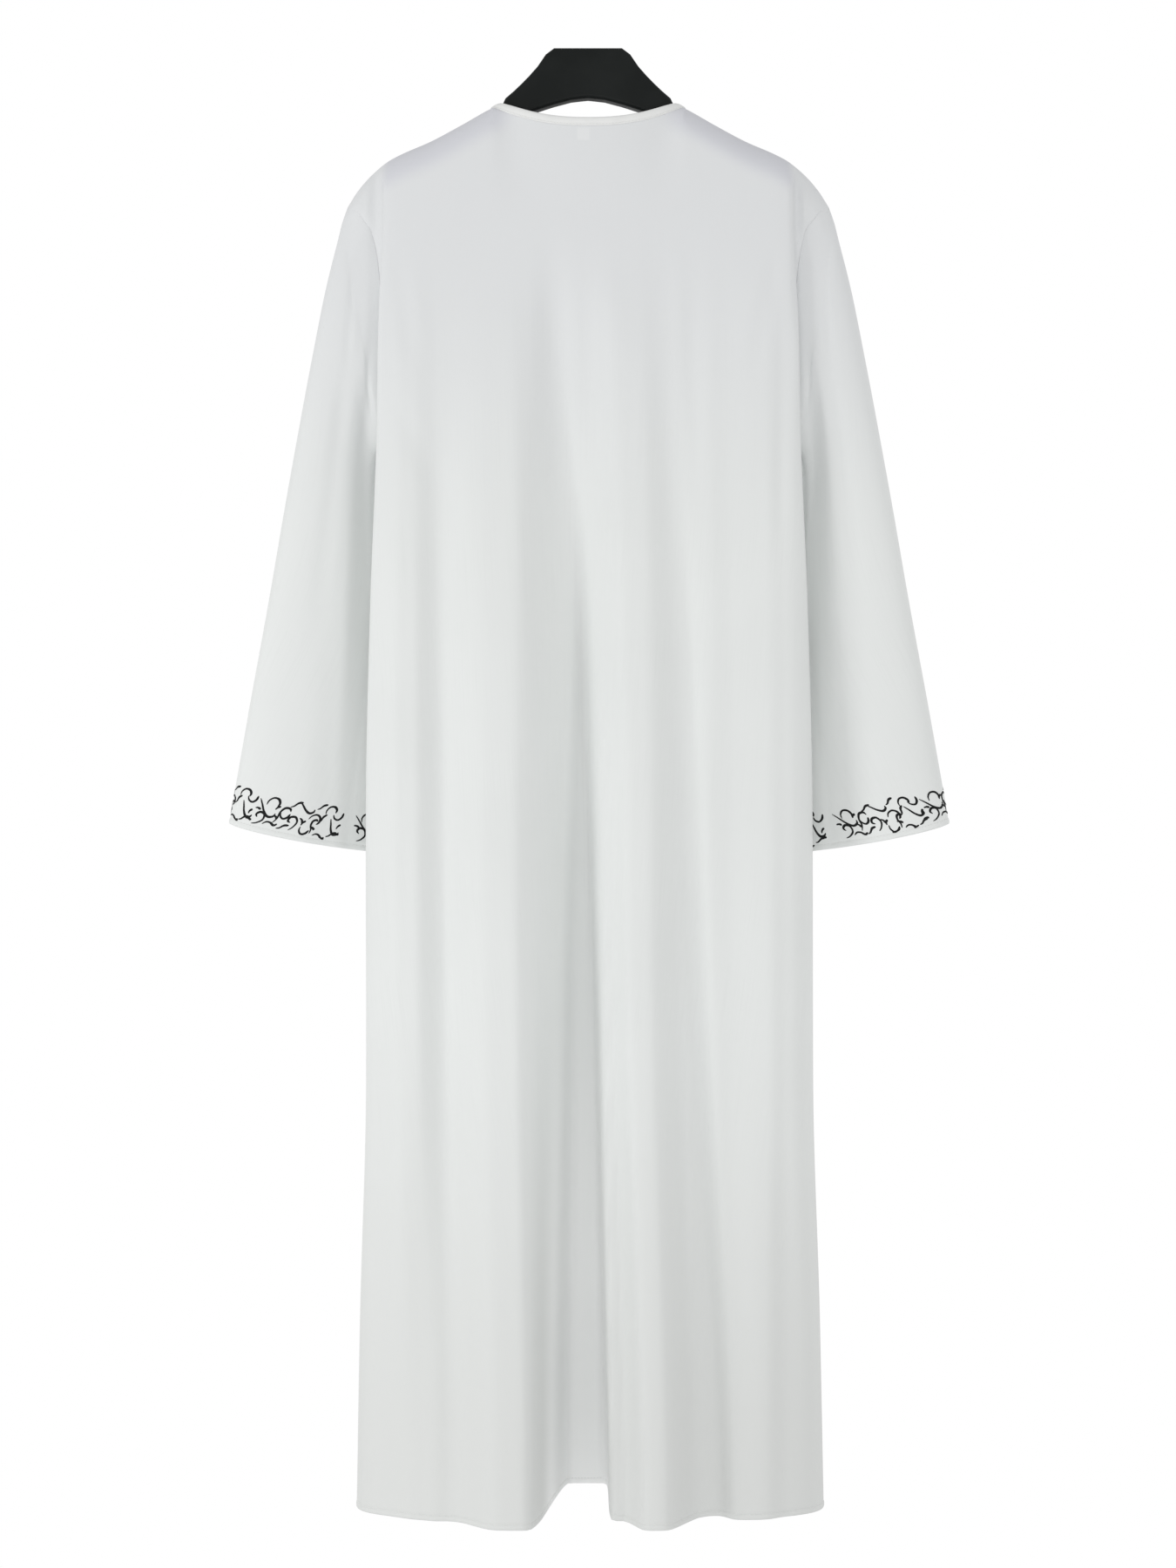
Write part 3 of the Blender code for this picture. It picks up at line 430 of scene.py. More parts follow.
def fold_shift(folds, creases, x, drop, edge_x):
    """How far the folds and creases move points at x and drop: along X, and into the body."""
    sideways, inwards = np.zeros_like(x), np.zeros_like(x)
    for f in folds:
        down = np.clip((drop - f["start"]) / (HEM_DROP - f["start"]), 0, 1)
        grown = down ** f["growth"] * smooth_step((drop - f["start"]) / FOLD_GROWTH)
        to_middle = 1 - smooth_step(np.where(down < 0.5, down, 1 - down) * 2)
        end = np.where(down < 0.5, f["x_top"], f["x_hem"])
        middle = f["x_mid"] + (end - f["x_mid"]) * to_middle
        left_width = f["left_top"] + (f["left"] - f["left_top"]) * down
        right_width = f["right_top"] + (f["right"] - f["right_top"]) * down
        flat = f["flat_top"] + (f["flat"] - f["flat_top"]) * down ** FLAT_GROWTH
        past = np.where(
            x > middle,
            (x - middle - flat) / left_width,
            (middle - flat - x) / right_width,
        )
        share = grown * (1 - smooth_step(past))
        inwards += f["depth"] * share
        sideways -= f["lean"] * share
    inwards += crease_depth(creases, x, drop)
    keep = 1 - smooth_step((np.abs(x) / edge_x - FOLD_KEEP) / (1 - FOLD_KEEP))
    return sideways * keep, inwards * keep


back_folds = [dict(zip(FOLD_COLUMNS, row)) for row in BACK_FOLDS.values()]
front_folds = [dict(zip(FOLD_COLUMNS, row)) for row in FRONT_FOLDS.values()]
across_back = np.linspace(-SHOULDER_X, SHOULDER_X, SECTION_POINTS)
deepest = fold_shift(back_folds, BACK_CREASES, across_back, HEM_DROP, SHOULDER_X)[1].max()
print("the back's deepest fold is", round(float(deepest), 3), "m")

# %% [markdown]
# ## Back and front
#
# Each panel is one width of cloth. A row starts as a section, the folds are pressed into it, and
# the columns are then spread evenly along its real length, as threads are. Rows above the underarm
# also turn over the hanger's arm and round the neck.

# %% The shape of a panel


class Panel:
    """The back (side +1) or the front (side -1) of the robe, as a grid of points on its outside."""

    def __init__(self, side, levels, folds, creases, neck_drop, neck_y):
        self.side, self.levels, self.creases = side, levels, creases
        self.folds = folds
        self.neck_drop, self.neck_y = neck_drop, neck_y
        neck_share = NECK_X / SHOULDER_X
        to_side = np.linspace(1, 0, SIDE_COLUMNS + 1)[1:]
        outside = 1 - (1 - neck_share) * to_side ** SIDE_CROWDING
        even = np.linspace(0, 1, NECK_COLUMNS + 1)
        self.shares = self.both_sides(neck_share * even, outside)
        self.top_x = SHOULDER_X * self.both_sides(neck_share * np.sin(even * math.pi / 2), outside)
        self.middle = NECK_COLUMNS + SIDE_COLUMNS

    @staticmethod
    def both_sides(inside, outside):
        half = np.concatenate([inside, outside])
        return np.concatenate([half[:0:-1], -half])

    def top_drop(self, x):
        """The drop of the top edge: the shoulder seams, and the neck edge between them."""
        out = np.abs(x)
        neck_point = SHOULDER_LINE[1][1]
        across = np.clip(out / NECK_X, 0, 1)
        neck = self.neck_drop + (neck_point - self.neck_drop) * across ** NECK_DIP
        return np.where(out < NECK_X, neck, table_value(SHOULDER_LINE, 1, out))

    def top_y(self, x):
        across = np.clip(np.abs(x) / NECK_X, 0, 1)
        return self.neck_y * (1 - across ** NECK_SQUARENESS) ** (1 / NECK_SQUARENESS)

    def row(self, share, skirt_share):
        """The points of one row. Share runs down the armhole, skirt_share from there to the hem."""
        top = SHOULDER_LINE[-1][1]
        side_drop = top + (UNDERARM_DROP - top) * share + (HEM_DROP - UNDERARM_DROP) * skirt_share
        x, y, foldable, edge_x = section(self.side, self.levels, side_drop, share)
        drop = np.full_like(x, side_drop)
        if share < 1:
            drop = self.top_drop(x) + (UNDERARM_DROP - self.top_drop(x)) * share
        sideways, inwards = fold_shift(self.folds, self.creases, x, drop, edge_x)
        x = x + sideways * foldable
        y = y - self.side * inwards * foldable
        along = np.concatenate([[0], np.cumsum(np.hypot(np.diff(x), np.diff(y)))])
        at = (1 - self.shares) / 2 * along[-1]
        into_fold = np.interp(at, along, np.where(foldable, inwards, 0))
        x, y = np.interp(at, along, x), np.interp(at, along, y)
        near_seam = 1 - smooth_step(np.minimum(at, along[-1] - at) / SEAM_KEEP)
        off_seam = 1 - near_seam * smooth_step(2 * share - 1)
        if share < 1:
            spread = smooth_step(share / TOP_SPREAD)
            x = self.top_x * (1 - spread) + x * spread
            fallen = (UNDERARM_DROP - self.top_drop(x)) * share
            over_arm = np.sqrt(1 - (1 - np.clip(fallen / SHOULDER_ROUND, 0, 1)) ** 2)
            on_arm = smooth_step((np.abs(x) - ON_ARM) / (NECK_X - ON_ARM))
            turned = over_arm * on_arm + smooth_step(fallen / NECK_EASE) * (1 - on_arm)
            y = self.top_y(x) + (y - self.top_y(x)) * turned
            drop = self.top_drop(x) + fallen
            y = y - self.side * crease_depth(EDGE_CREASES, x, drop) * over_arm * off_seam
        else:
            y = y - self.side * crease_depth(EDGE_CREASES, x, side_drop) * off_seam
            drop = side_drop - HEM_RISE * np.maximum(into_fold, 0) * skirt_share
        return np.stack([x, y, -drop], axis=1)

    def grid(self):
        upper = [self.row(share, 0) for share in ARMHOLE_ROWS[:-1]]
        return np.array(upper + [self.row(1, share) for share in SKIRT_SHARES])


back_panel = Panel(1, BACK_LEVELS, back_folds, BACK_CREASES, NECK_BACK_DROP, NECK_BACK_Y)
front_panel = Panel(-1, FRONT_LEVELS, front_folds, FRONT_CREASES, NECK_FRONT_DROP, NECK_FRONT_Y)
back_points, front_points = back_panel.grid(), front_panel.grid()
print("back grid:", back_points.shape[:2])

# %% [markdown]
# ## Sleeves
#
# A sleeve is one piece, sewn into the armhole and closed along the underarm. It hangs nearly flat,
# so its rings are thin lens shapes between an outer and an inner point. The first ring is the
# armhole's own edge. The columns turn round the sleeve a little on their way to the cuff, because
# the underarm seam of the real one swings to the back there, and the grid's own seam follows it.

# %% The shape of a sleeve
SEAM_SWING = math.radians(68)   # how far round the sleeve its seam has turned at the cuff
SWING_START = 0.20              # and where along it that begins
SLEEVE_LENGTH = 0.63
EVEN_FROM = 0.6                 # from this share of its length on, the columns are evenly spread


def sleeve_grid(back, front, hand):
    """The points of a sleeve, a row for each ring, from the armhole to the cuff."""
    column = 0 if hand > 0 else -1
    last = len(ARMHOLE_ROWS) - 1
    armhole = np.concatenate([front[last:0:-1, column], back[: last + 1, column]])
    shares = np.concatenate([ARMHOLE_ROWS[last:0:-1], ARMHOLE_ROWS])
    on_back = np.arange(len(shares)) >= last
    start_angle = np.arccos(1 - 2 * shares) * np.where(on_back, 1, -1)
    even_angle = np.linspace(-math.pi, math.pi, len(shares))
    count = len(SLEEVE_STATIONS) - 1
    stations = [(i / count, *row) for i, row in enumerate(SLEEVE_STATIONS)]
    rings = [armhole]
    for at in with_edge_rows(SLEEVE_RINGS, SLEEVE_LENGTH)[1:]:
        o_drop, o_x, o_y, i_x, i_y, i_drop, half = table_row(stations, at)
        even = smooth_step((at - SLEEVE_BLEND) / (EVEN_FROM - SLEEVE_BLEND))
        swung = SEAM_SWING * smooth_step((at - SWING_START) / (1 - SWING_START))
        angle = start_angle * (1 - even) + even_angle * even - swung
        across = (1 - np.cos(angle)) / 2
        outer, inner = np.array([o_x * hand, o_y, -o_drop]), np.array([i_x * hand, i_y, -i_drop])
        middle, reach = (outer + inner) / 2, (outer - inner) / 2
        unit = reach / np.linalg.norm(reach)
        thick = np.array([0.0, 1.0, 0.0]) - unit[1] * unit
        thick = thick / np.linalg.norm(thick)
        around = np.sin(angle)
        on_side = {side: (np.sign(around) == side) * np.abs(around) for side in (1, -1)}
        bulge = half * around
        for side, place, width, start, full, depth in SLEEVE_FOLDS:
            near = 1 - smooth_step(np.abs(across - place) / width)
            grown = smooth_step((at - start) / (full - start))
            bulge = bulge - side * depth * near * on_side[side] * grown
        for side in (1, -1):
            creases = [row[1:] for row in SLEEVE_CREASES if row[0] == side]
            bulge = bulge - side * on_side[side] * crease_depth(creases, across, at)
        ring = middle + np.outer(np.cos(angle), reach) + np.outer(bulge, thick)
        ring[:, 2] -= CUFF_SAG * np.abs(np.sin(angle)) * smooth_step(2 * at - 1)
        blend = smooth_step(at / SLEEVE_BLEND)
        rings.append(armhole * (1 - blend) + ring * blend)
    return np.array(rings)


left_points, right_points = (sleeve_grid(back_points, front_points, hand) for hand in (1, -1))
sheets = {
    name: {"name": name, "points": points, "closed": closed, "outward": outward}
    for name, points, closed, outward in (
        ("back", back_points, False, 1),
        ("front", front_points, False, -1),
        ("sleeve_left", left_points, True, 1),
        ("sleeve_right", right_points, True, -1),
    )
}
for sheet in sheets.values():
    sheet["points"][..., 0] += SWAY * sheet["points"][..., 2] / HEM_DROP
print("sleeve grid:", sheets["sleeve_left"]["points"].shape[:2])

# %% [markdown]
# ## Seams and hems
#
# Where two pieces are sewn together the thread pulls both edges in, so a seam is a fine groove. A
# hem is folded twice and stitched, so it stands a little proud with a line of small dents above it.
# Both are made here as heights along the cloth's normal, from each point's distance to the edges.

# %% Distances, normals and the pull of the thread
SEAM_DEPTH = 0.0004
SEAM_WIDTH = 0.0026
SEAM_FADE = 0.012        # a groove fades out this near the top of an armhole
HEM_PUFF = 0.0006
HEM_DENT = 0.0005
HEM_DENT_WIDTH = 0.0009
SAME_PLACE = 0.00005     # edge points this near each other meet in a seam


def lengths(points, axis):
    """Each point's distance along its row or column, and that line's whole length."""
    steps = np.linalg.norm(np.diff(points, axis=axis), axis=2)
    start = np.zeros_like(steps.take([0], axis=axis))
    along = np.concatenate([start, np.cumsum(steps, axis=axis)], axis=axis)
    return along, along.take([-1], axis=axis)


def length_map(points):
    """A UV map of a grid: each point's distance along its row and down its column."""
    return np.stack([lengths(points, 1)[0], lengths(points, 0)[0]], axis=2)


def grid_normals(points, closed, outward):
    """A normal at each point of a grid, turned the way outward says (+1 or -1)."""
    down = np.gradient(points, axis=0)
    across = np.gradient(points, axis=1)
    if closed:
        across[:, 0] = across[:, -1] = points[:, 1] - points[:, -2]
    normal = np.cross(down, across) * outward
    return normal / np.linalg.norm(normal, axis=2, keepdims=True)


def share_seam_normals(pieces):
    """Gives edge points of different pieces that meet in a seam one common normal."""
    meeting = {}
    for piece in pieces:
        rows, columns = piece["points"].shape[:2]
        edge = [(r, c) for r in range(rows) for c in (0, columns - 1)]
        edge += [(r, c) for r in (0, rows - 1) for c in range(1, columns - 1)]
        for place in edge:
            key = tuple(np.round(piece["points"][place] / SAME_PLACE).astype(int))
            meeting.setdefault(key, []).append((piece, place))
    for group in meeting.values():
        common = sum(piece["normals"][place] for piece, place in group)
        for piece, place in group:
            piece["normals"][place] = common / np.linalg.norm(common)


def hem_height(distance):
    """How far a hem stands out of the cloth, at a distance from its edge."""
    puff = HEM_PUFF * np.sqrt(np.sin(math.pi * np.clip(distance / HEM_WIDTH, 0, 1)))
    dent = HEM_DENT * np.exp(-(((distance - HEM_WIDTH) / HEM_DENT_WIDTH) ** 2))
    return puff - dent


def seam_height(distance):
    return -SEAM_DEPTH * np.exp(-((distance / SEAM_WIDTH) ** 2))


for name, sheet in sheets.items():
    sheet["normals"] = grid_normals(sheet["points"], sheet["closed"], sheet["outward"])
    across, whole_across = lengths(sheet["points"], 1)
    down, whole_down = lengths(sheet["points"], 0)
    sheet["from_side"] = np.minimum(across, whole_across - across)
    sheet["from_top"], sheet["from_hem"] = down, whole_down - down
    middle = 0 if sheet["closed"] else back_panel.middle
    sheet["uv"] = np.stack([across - across[:, [middle]], sheet["from_hem"]], axis=2)
    print(name, "width", np.round(whole_across.max(), 3), "length", np.round(whole_down.max(), 3))
share_seam_normals(sheets.values())

# %% [markdown]
# ## The neck edge
#
# The binding stands upright at the middle of the neck and leans in over the hanger at the shoulder
# seams. Its directions are worked out once, for the cloth's edge and for the strip that holds it.

# %% Directions along the neck edge


def neck_frames(back, front):
    """Points, upward and outward directions, from the slit's left side round to its right."""
    middle = back_panel.middle
    stops = [(front, middle - c) for c in range(NECK_COLUMNS)]
    stops += [(back, middle + c) for c in range(-NECK_COLUMNS, NECK_COLUMNS + 1)]
    stops += [(front, middle + c) for c in range(NECK_COLUMNS - 1, -1, -1)]
    points = np.array([sheet["points"][0, c] for sheet, c in stops])
    tangents = np.gradient(points, axis=0)
    tangents /= np.linalg.norm(tangents, axis=1, keepdims=True)
    lean = NECK_LEAN * (np.abs(points[:, 0]) / NECK_X) ** NECK_LEAN_POWER
    up = np.stack([-np.sign(points[:, 0]) * lean, np.zeros_like(lean), np.ones_like(lean)], axis=1)
    up -= (up * tangents).sum(1, keepdims=True) * tangents
    up /= np.linalg.norm(up, axis=1, keepdims=True)
    outward = np.cross(tangents, up)
    outward *= np.sign((outward * points * (1, 1, 0)).sum(1, keepdims=True))
    for (sheet, c), normal in zip(stops, outward):
        sheet["normals"][0, c] = normal
    return points, up, outward


neck_points, neck_up, neck_out = neck_frames(sheets["back"], sheets["front"])
for sheet in sheets.values():
    height = seam_height(sheet["from_side"]) + hem_height(sheet["from_hem"])
    in_neck = (np.abs(sheet["points"][[0], :, 0]) < NECK_X) & (not sheet["closed"])
    height = height + np.where(in_neck, 0, seam_height(sheet["from_top"]))
    from_tip = np.abs(sheet["points"]) - (SHOULDER_X, 0, SHOULDER_LINE[-1][1])
    height = height * smooth_step(np.linalg.norm(from_tip, axis=2) / SEAM_FADE)
    sheet["points"] = sheet["points"] + sheet["normals"] * height[..., None]
seam_gap = max(
    float(np.linalg.norm(sheets["back"]["points"][-len(SKIRT_SHARES):, column]
                         - sheets["front"]["points"][-len(SKIRT_SHARES):, column], axis=1).max())
    for column in (0, -1)
)
print("widest gap at the side seams:", round(seam_gap * 1000, 3), "mm")
neck_length = float(np.linalg.norm(np.diff(neck_points, axis=0), axis=1).sum())
print("neck edge:", round(neck_length, 3), "m")

# %% [markdown]
# ## Shader sums
#
# Materials are built from nodes. Their sums read best as sums, so a small class wraps a socket and
# adds a Math node for each operator, and one method adds every other kind of node.

# %% Sockets that take part in arithmetic


class Value:
    """A shader socket that adds a Math node for each operation on it."""

    def __init__(self, finish, socket):
        self.finish, self.socket = finish, socket

    def math(self, operation, first, second=None):
        values = {0: first} if second is None else {0: first, 1: second}
        return self.finish.node("ShaderNodeMath", {"operation": operation}, values)

    def __add__(self, other):
        return self.math("ADD", self, other)

    def __sub__(self, other):
        return self.math("SUBTRACT", self, other)

    def __mul__(self, other):
        return self.math("MULTIPLY", self, other)

    def __gt__(self, other):
        return self.math("GREATER_THAN", self, other)

    __radd__ = __add__

    def sine(self):
        return self.math("SINE", self)

    def size(self):
        return self.math("ABSOLUTE", self)

    def fade(self, start, end):
        """0 at start and 1 at end, with an even curve between them."""
        settings = {"interpolation_type": "SMOOTHSTEP"}
        return self.finish.node("ShaderNodeMapRange", settings, {0: self, 1: start, 2: end})


# %% [markdown]
# ## A finish
#
# Every finish starts from the Principled shader. What is the same all over is set on its own
# sockets, and only what changes over the surface is fed by nodes.

# %% A material that takes values and nodes


class Finish:
    """A material with a Principled shader, whose even values are set on its own sockets."""

    def __init__(self, name, **even):
        self.material = bpy.data.materials.new(name)
        self.material.use_nodes = True
        self.tree = self.material.node_tree
        self.shader = self.tree.nodes["Principled BSDF"]
        for socket, value in even.items():
            self.shader.inputs[socket.replace("_", " ")].default_value = value

    def node(self, kind, settings=None, inputs=None, output=0):
        made = self.tree.nodes.new(kind)
        for name, value in (settings or {}).items():
            setattr(made, name, value)
        for name, value in (inputs or {}).items():
            if isinstance(value, Value):
                self.tree.links.new(value.socket, made.inputs[name])
            else:
                made.inputs[name].default_value = value
        return Value(self, made.outputs[output])

    def split(self, vector):
        """The three parts of a vector."""
        parts = self.node("ShaderNodeSeparateXYZ", inputs={0: vector}).socket.node
        return [Value(self, output) for output in parts.outputs]

    def join(self, x, y, z=0.0):
        return self.node("ShaderNodeCombineXYZ", inputs={0: x, 1: y, 2: z})

    def surface(self, layer):
        """The two lengths of a UV map, in metres along the cloth."""
        return self.split(self.node("ShaderNodeUVMap", {"uv_map": layer}))[:2]

    def place(self):
        return self.node("ShaderNodeTexCoord", output="Object")

    def noise(self, vector, scale, detail=2.0):
        values = {"Vector": vector, "Scale": scale, "Detail": detail}
        return self.node("ShaderNodeTexNoise", inputs=values)

    def attribute(self, name):
        return self.node("ShaderNodeAttribute", {"attribute_name": name}, output="Fac")

    def mix(self, factor, first, second):
        """A colour between two others. Sockets 6 and 7 are the Mix node's two colours."""
        values = {0: factor, 6: first, 7: second}
        return self.node("ShaderNodeMix", {"data_type": "RGBA"}, values, output=2)

    def bump(self, height, distance):
        values = {"Height": height, "Distance": distance}
        self.feed("Normal", self.node("ShaderNodeBump", inputs=values))

    def feed(self, socket, value):
        self.tree.links.new(value.socket, self.shader.inputs[socket])


# %% [markdown]
# ## The robe's cloth
#
# The cloth is an off-white blend with a smooth face. Up close it is a plain weave: warp and weft
# threads pass over each other in turn, which two crossed sines give well. Single threads are a
# little thicker than others, so faint streaks run down the cloth. A grey band of painted shade lies
# over the hanger's arms, where the black hanger shows through, and the label shows as a paler patch.
# Painted shade also darkens the cloth towards the shoulders and towards the hem, and painted light
# lightens the inside of the back's deep middle fold.

# %% The cloth's finish
THREADS = 2200            # threads in a metre
WEAVE_RELIEF = 0.00006
CLOTH_COLOUR = (0.800, 0.818, 0.808, 1)
STREAK_COLOUR = (0.762, 0.780, 0.770, 1)
# painted shade where the black hanger lies behind the cloth, over its arms
HANGER_SHADE_COLOUR = (0.690, 0.698, 0.738, 1)
# painted shade, darker and bluer towards the shoulders
SHOULDER_SHADE_COLOUR = (0.756, 0.768, 0.782, 1)
SHOULDER_SHADE_FADE = (-0.52, -0.16)    # between these heights the painted shade takes over, towards the shoulders
# painted shade, darker towards the hem
HEM_SHADE_COLOUR = (0.722, 0.735, 0.722, 1)
HEM_SHADE_FADE = (-0.90, -1.42)    # and between these the painted shade, towards the hem
# painted light inside the back's deep middle fold
FOLD_LIGHT_COLOUR = (0.930, 0.940, 0.934, 1)
PATCH_COLOUR = (0.800, 0.812, 0.816, 1)
LABEL_X = 0.0045               # the middle of the label's patch
LABEL_Z = -0.0905
LABEL_HALF = 0.0075
PATCH_EDGE = 0.0030


def weave(finish, u, v, threads):
    """The height of a plain weave, from 0 to 1."""
    turn = math.pi * threads
    warp, weft = (u * turn).sine(), (v * turn).sine()
    return warp * weft * 0.25 + (u * 2 * turn).sine().size() * 0.25 + 0.5


def cloth_finish(name, label_shows=False):
    finish = Finish(name, Sheen_Weight=0.20, Sheen_Roughness=0.45, Specular_IOR_Level=0.35)
    u, v = finish.surface("cloth")
    streaks = finish.noise(finish.join(u * 900, v * 9), 1.0)
    clouds = finish.noise(finish.place(), 9.0, 4.0)
    colour = finish.mix(streaks.fade(0.45, 0.75) * 0.4, CLOTH_COLOUR, STREAK_COLOUR)
    colour = finish.mix(clouds.fade(0.35, 0.75) * 0.35, colour, STREAK_COLOUR)
    x, y, z = finish.split(finish.place())
    # painted shade, darker and bluer towards the shoulders
    colour = finish.mix(z.fade(*SHOULDER_SHADE_FADE) * 0.8, colour, SHOULDER_SHADE_COLOUR)
    # painted shade, darker towards the hem
    colour = finish.mix(z.fade(*HEM_SHADE_FADE), colour, HEM_SHADE_COLOUR)
    # painted light inside the back's deep middle fold
    colour = finish.mix(finish.attribute("painted_fold_light"), colour, FOLD_LIGHT_COLOUR)
    # painted shade where the black hanger lies behind the cloth
    colour = finish.mix(finish.attribute("painted_hanger_shade"), colour, HANGER_SHADE_COLOUR)
    height = weave(finish, u, v, THREADS) + streaks * 0.6
    if label_shows:
        inside_x = (x - LABEL_X).size().fade(LABEL_HALF, LABEL_HALF - PATCH_EDGE)
        inside_z = (z - LABEL_Z).size().fade(LABEL_HALF, LABEL_HALF - PATCH_EDGE)
        colour = finish.mix(inside_x * inside_z * (y > 0), colour, PATCH_COLOUR)
    finish.feed("Base Color", colour)
    finish.feed("Roughness", 0.74 + clouds * 0.12)
    finish.bump(height, WEAVE_RELIEF)
    return finish.material


ROBE_CLOTH = cloth_finish("robe cloth")
BACK_CLOTH = cloth_finish("robe cloth of the back", label_shows=True)
print("finishes:", ROBE_CLOTH.name, "and", BACK_CLOTH.name)

# %% [markdown]
# ## From a grid to a cloth piece
#
# The grid operator gives the faces, and each of its vertices is then moved to its place on the
# cloth. A sleeve's first and last columns lie on each other and are merged, which closes the tube.
# A Solidify modifier gives the thickness, which is simpler than a second grid inside the first.

# %% A grid of faces and a finished piece
MERGE = 0.000001


def grid_mesh(points, uv, closed=False, layer="cloth"):
    """A bmesh grid whose vertices lie on the given points, with its lengths as a UV map."""
    rows, columns = points.shape[:2]
    bm = bmesh.new()
    bmesh.ops.create_grid(bm, x_segments=columns - 1, y_segments=rows - 1, size=0.5)
    uv_layer = bm.loops.layers.uv.new(layer)
    for vert, place, at in zip(bm.verts, points.reshape(-1, 3), uv.reshape(-1, 2)):
        vert.co = place
        for loop in vert.link_loops:
            loop[uv_layer].uv = at
    if closed:
        bmesh.ops.remove_doubles(bm, verts=bm.verts[:], dist=MERGE)
    bmesh.ops.recalc_face_normals(bm, faces=bm.faces[:])
    return bm


def add_piece(name, bm, material):
    """Makes a bmesh a smooth piece with its finish that rides on the part's one body."""
    mesh = bpy.data.meshes.new(name)
    bm.to_mesh(mesh)
    bm.free()
    mesh.materials.append(material)
    mesh.shade_smooth()
    piece = bpy.data.objects.new(name, mesh)
    bpy.context.scene.collection.objects.link(piece)
    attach(piece, "root")
    return piece


def give_wall(piece, thickness, offset=-1):
    """Thickens a surface: inwards at an offset of -1, and to both sides at 0."""
    wall = piece.modifiers.new("thickness", "SOLIDIFY")
    wall.thickness, wall.offset = thickness, offset
    return wall


def face_outwards(bm, sheet):
    """Turns an open sheet's faces to the side of its normals, which a recalculation can't know."""
    bm.faces.ensure_lookup_table()
    row, column = (size // 2 for size in sheet["points"].shape[:2])
    place, normal = Vector(sheet["points"][row, column]), Vector(sheet["normals"][row, column])
    nearest = min(bm.faces, key=lambda face: (face.calc_center_median() - place).length)
    if nearest.normal.dot(normal) < 0:
        bmesh.ops.reverse_faces(bm, faces=bm.faces[:])


print("faces of the back's grid:", (back_points.shape[0] - 1) * (back_points.shape[1] - 1))

# %% [markdown]
# ## What is special in the cloth
#
# The front has a slit so that a head passes, parted along its middle line. The cloth also carries
# two painted tones for its finish, kept as a share at each vertex: painted shade where the black
# hanger lies behind it, and painted light inside the deep fold. At the top of each armhole three
# pieces meet in one point, and their walls are thinned there, because full walls would run into
# each other.

# %% The slit, the painted shade and light, and the thinned tips
ARM_REACH = (0.064, 0.206)     # where the hanger's arms begin and end under the cloth
ARM_SHADOW = 0.040             # how far down the painted shade reaches
INNER_FADE, OUTER_FADE, LOWER_EDGE_FADE = 0.030, 0.012, 0.022
FOLD_DEEP = 0.048              # depth of a fold at which its inside has the painted light in full
FOLD_TOP = -0.75               # the height the painted light starts from
FOLD_RUN = 0.50                # and how far down it comes in
FOLD_HALF = 0.10               # half the width in which the middle fold is looked for
THIN_REACH = 0.016             # round an armhole's top, where the cloth is thinned to a point
THINNEST = 0.03


def open_slit(bm, middle_line, depth_share):
    """Parts the front's middle line from the neck down, as a narrow V."""
    last = int(np.searchsorted(ARMHOLE_ROWS, depth_share))
    line = [Vector(point) for point in middle_line[: last + 1]]
    bottom, top = line[-1].z, line[0].z
    near = MERGE * 10
    on_line = [v for v in bm.verts if any((v.co - point).length < near for point in line)]
    edges = [e for e in bm.edges if e.verts[0] in on_line and e.verts[1] in on_line]
    bmesh.ops.split_edges(bm, edges=edges)
    for vert in bm.verts:
        if vert.co.z > bottom + near and any((vert.co - point).length < near for point in line):
            beside = [face.calc_center_median().x for face in vert.link_faces]
            share = (vert.co.z - bottom) / (top - bottom)
            side = sum(beside) / len(beside) - vert.co.x
            vert.co.x += math.copysign(SLIT_TOP_GAP / 2 * share, side)


def vertex_share(bm, name, shares):
    """Keeps a share from 0 to 1 for each vertex, which the cloth's finish reads."""
    layer = bm.verts.layers.float.new(name)
    for vert, share in zip(bm.verts, shares):
        vert[layer] = float(share)


def paint_hanger_shade(bm):
    """How much painted shade of the black hanger behind the cloth each vertex gets."""
    x, y, z = np.array([vert.co for vert in bm.verts]).T
    out = np.abs(x)
    fallen = -z - table_value(SHOULDER_LINE, 1, out)
    inner, outer = ARM_REACH
    along = smooth_step((out - inner) / INNER_FADE) * smooth_step((outer - out) / OUTER_FADE)
    vertex_share(bm, "painted_hanger_shade", along * smooth_step((ARM_SHADOW - fallen) / LOWER_EDGE_FADE))


def paint_fold_light(bm):
    """Painted light: how far inside the back's middle fold each vertex lies, in its lower part."""
    x, y, z = np.array([vert.co for vert in bm.verts]).T
    deep = smooth_step((table_value(BACK_LEVELS, 3, -z) - y) / FOLD_DEEP) * (np.abs(x) < FOLD_HALF)
    vertex_share(bm, "painted_fold_light", deep * smooth_step((FOLD_TOP - z) / FOLD_RUN))


def thin_at_armholes(piece, wall):
    """Thins the wall near the tops of the armholes, where three pieces meet in one point."""
    group = piece.vertex_groups.new(name="thickness")
    for vert in piece.data.vertices:
        tip = Vector((math.copysign(SHOULDER_X, vert.co.x), 0, -SHOULDER_LINE[-1][1]))
        group.add([vert.index], float(smooth_step((vert.co - tip).length / THIN_REACH)), "REPLACE")
    wall.vertex_group = group.name
    wall.thickness_vertex_group = THINNEST


print("the hanger shows from", ARM_REACH[0], "to", ARM_REACH[1], "m out")

# %% [markdown]
# ## The four large pieces
#
# Back, front and sleeves are made in the same way from their grids. The wall goes inwards, so the
# folds stay where the grid has them.

# %% Making the cloth pieces


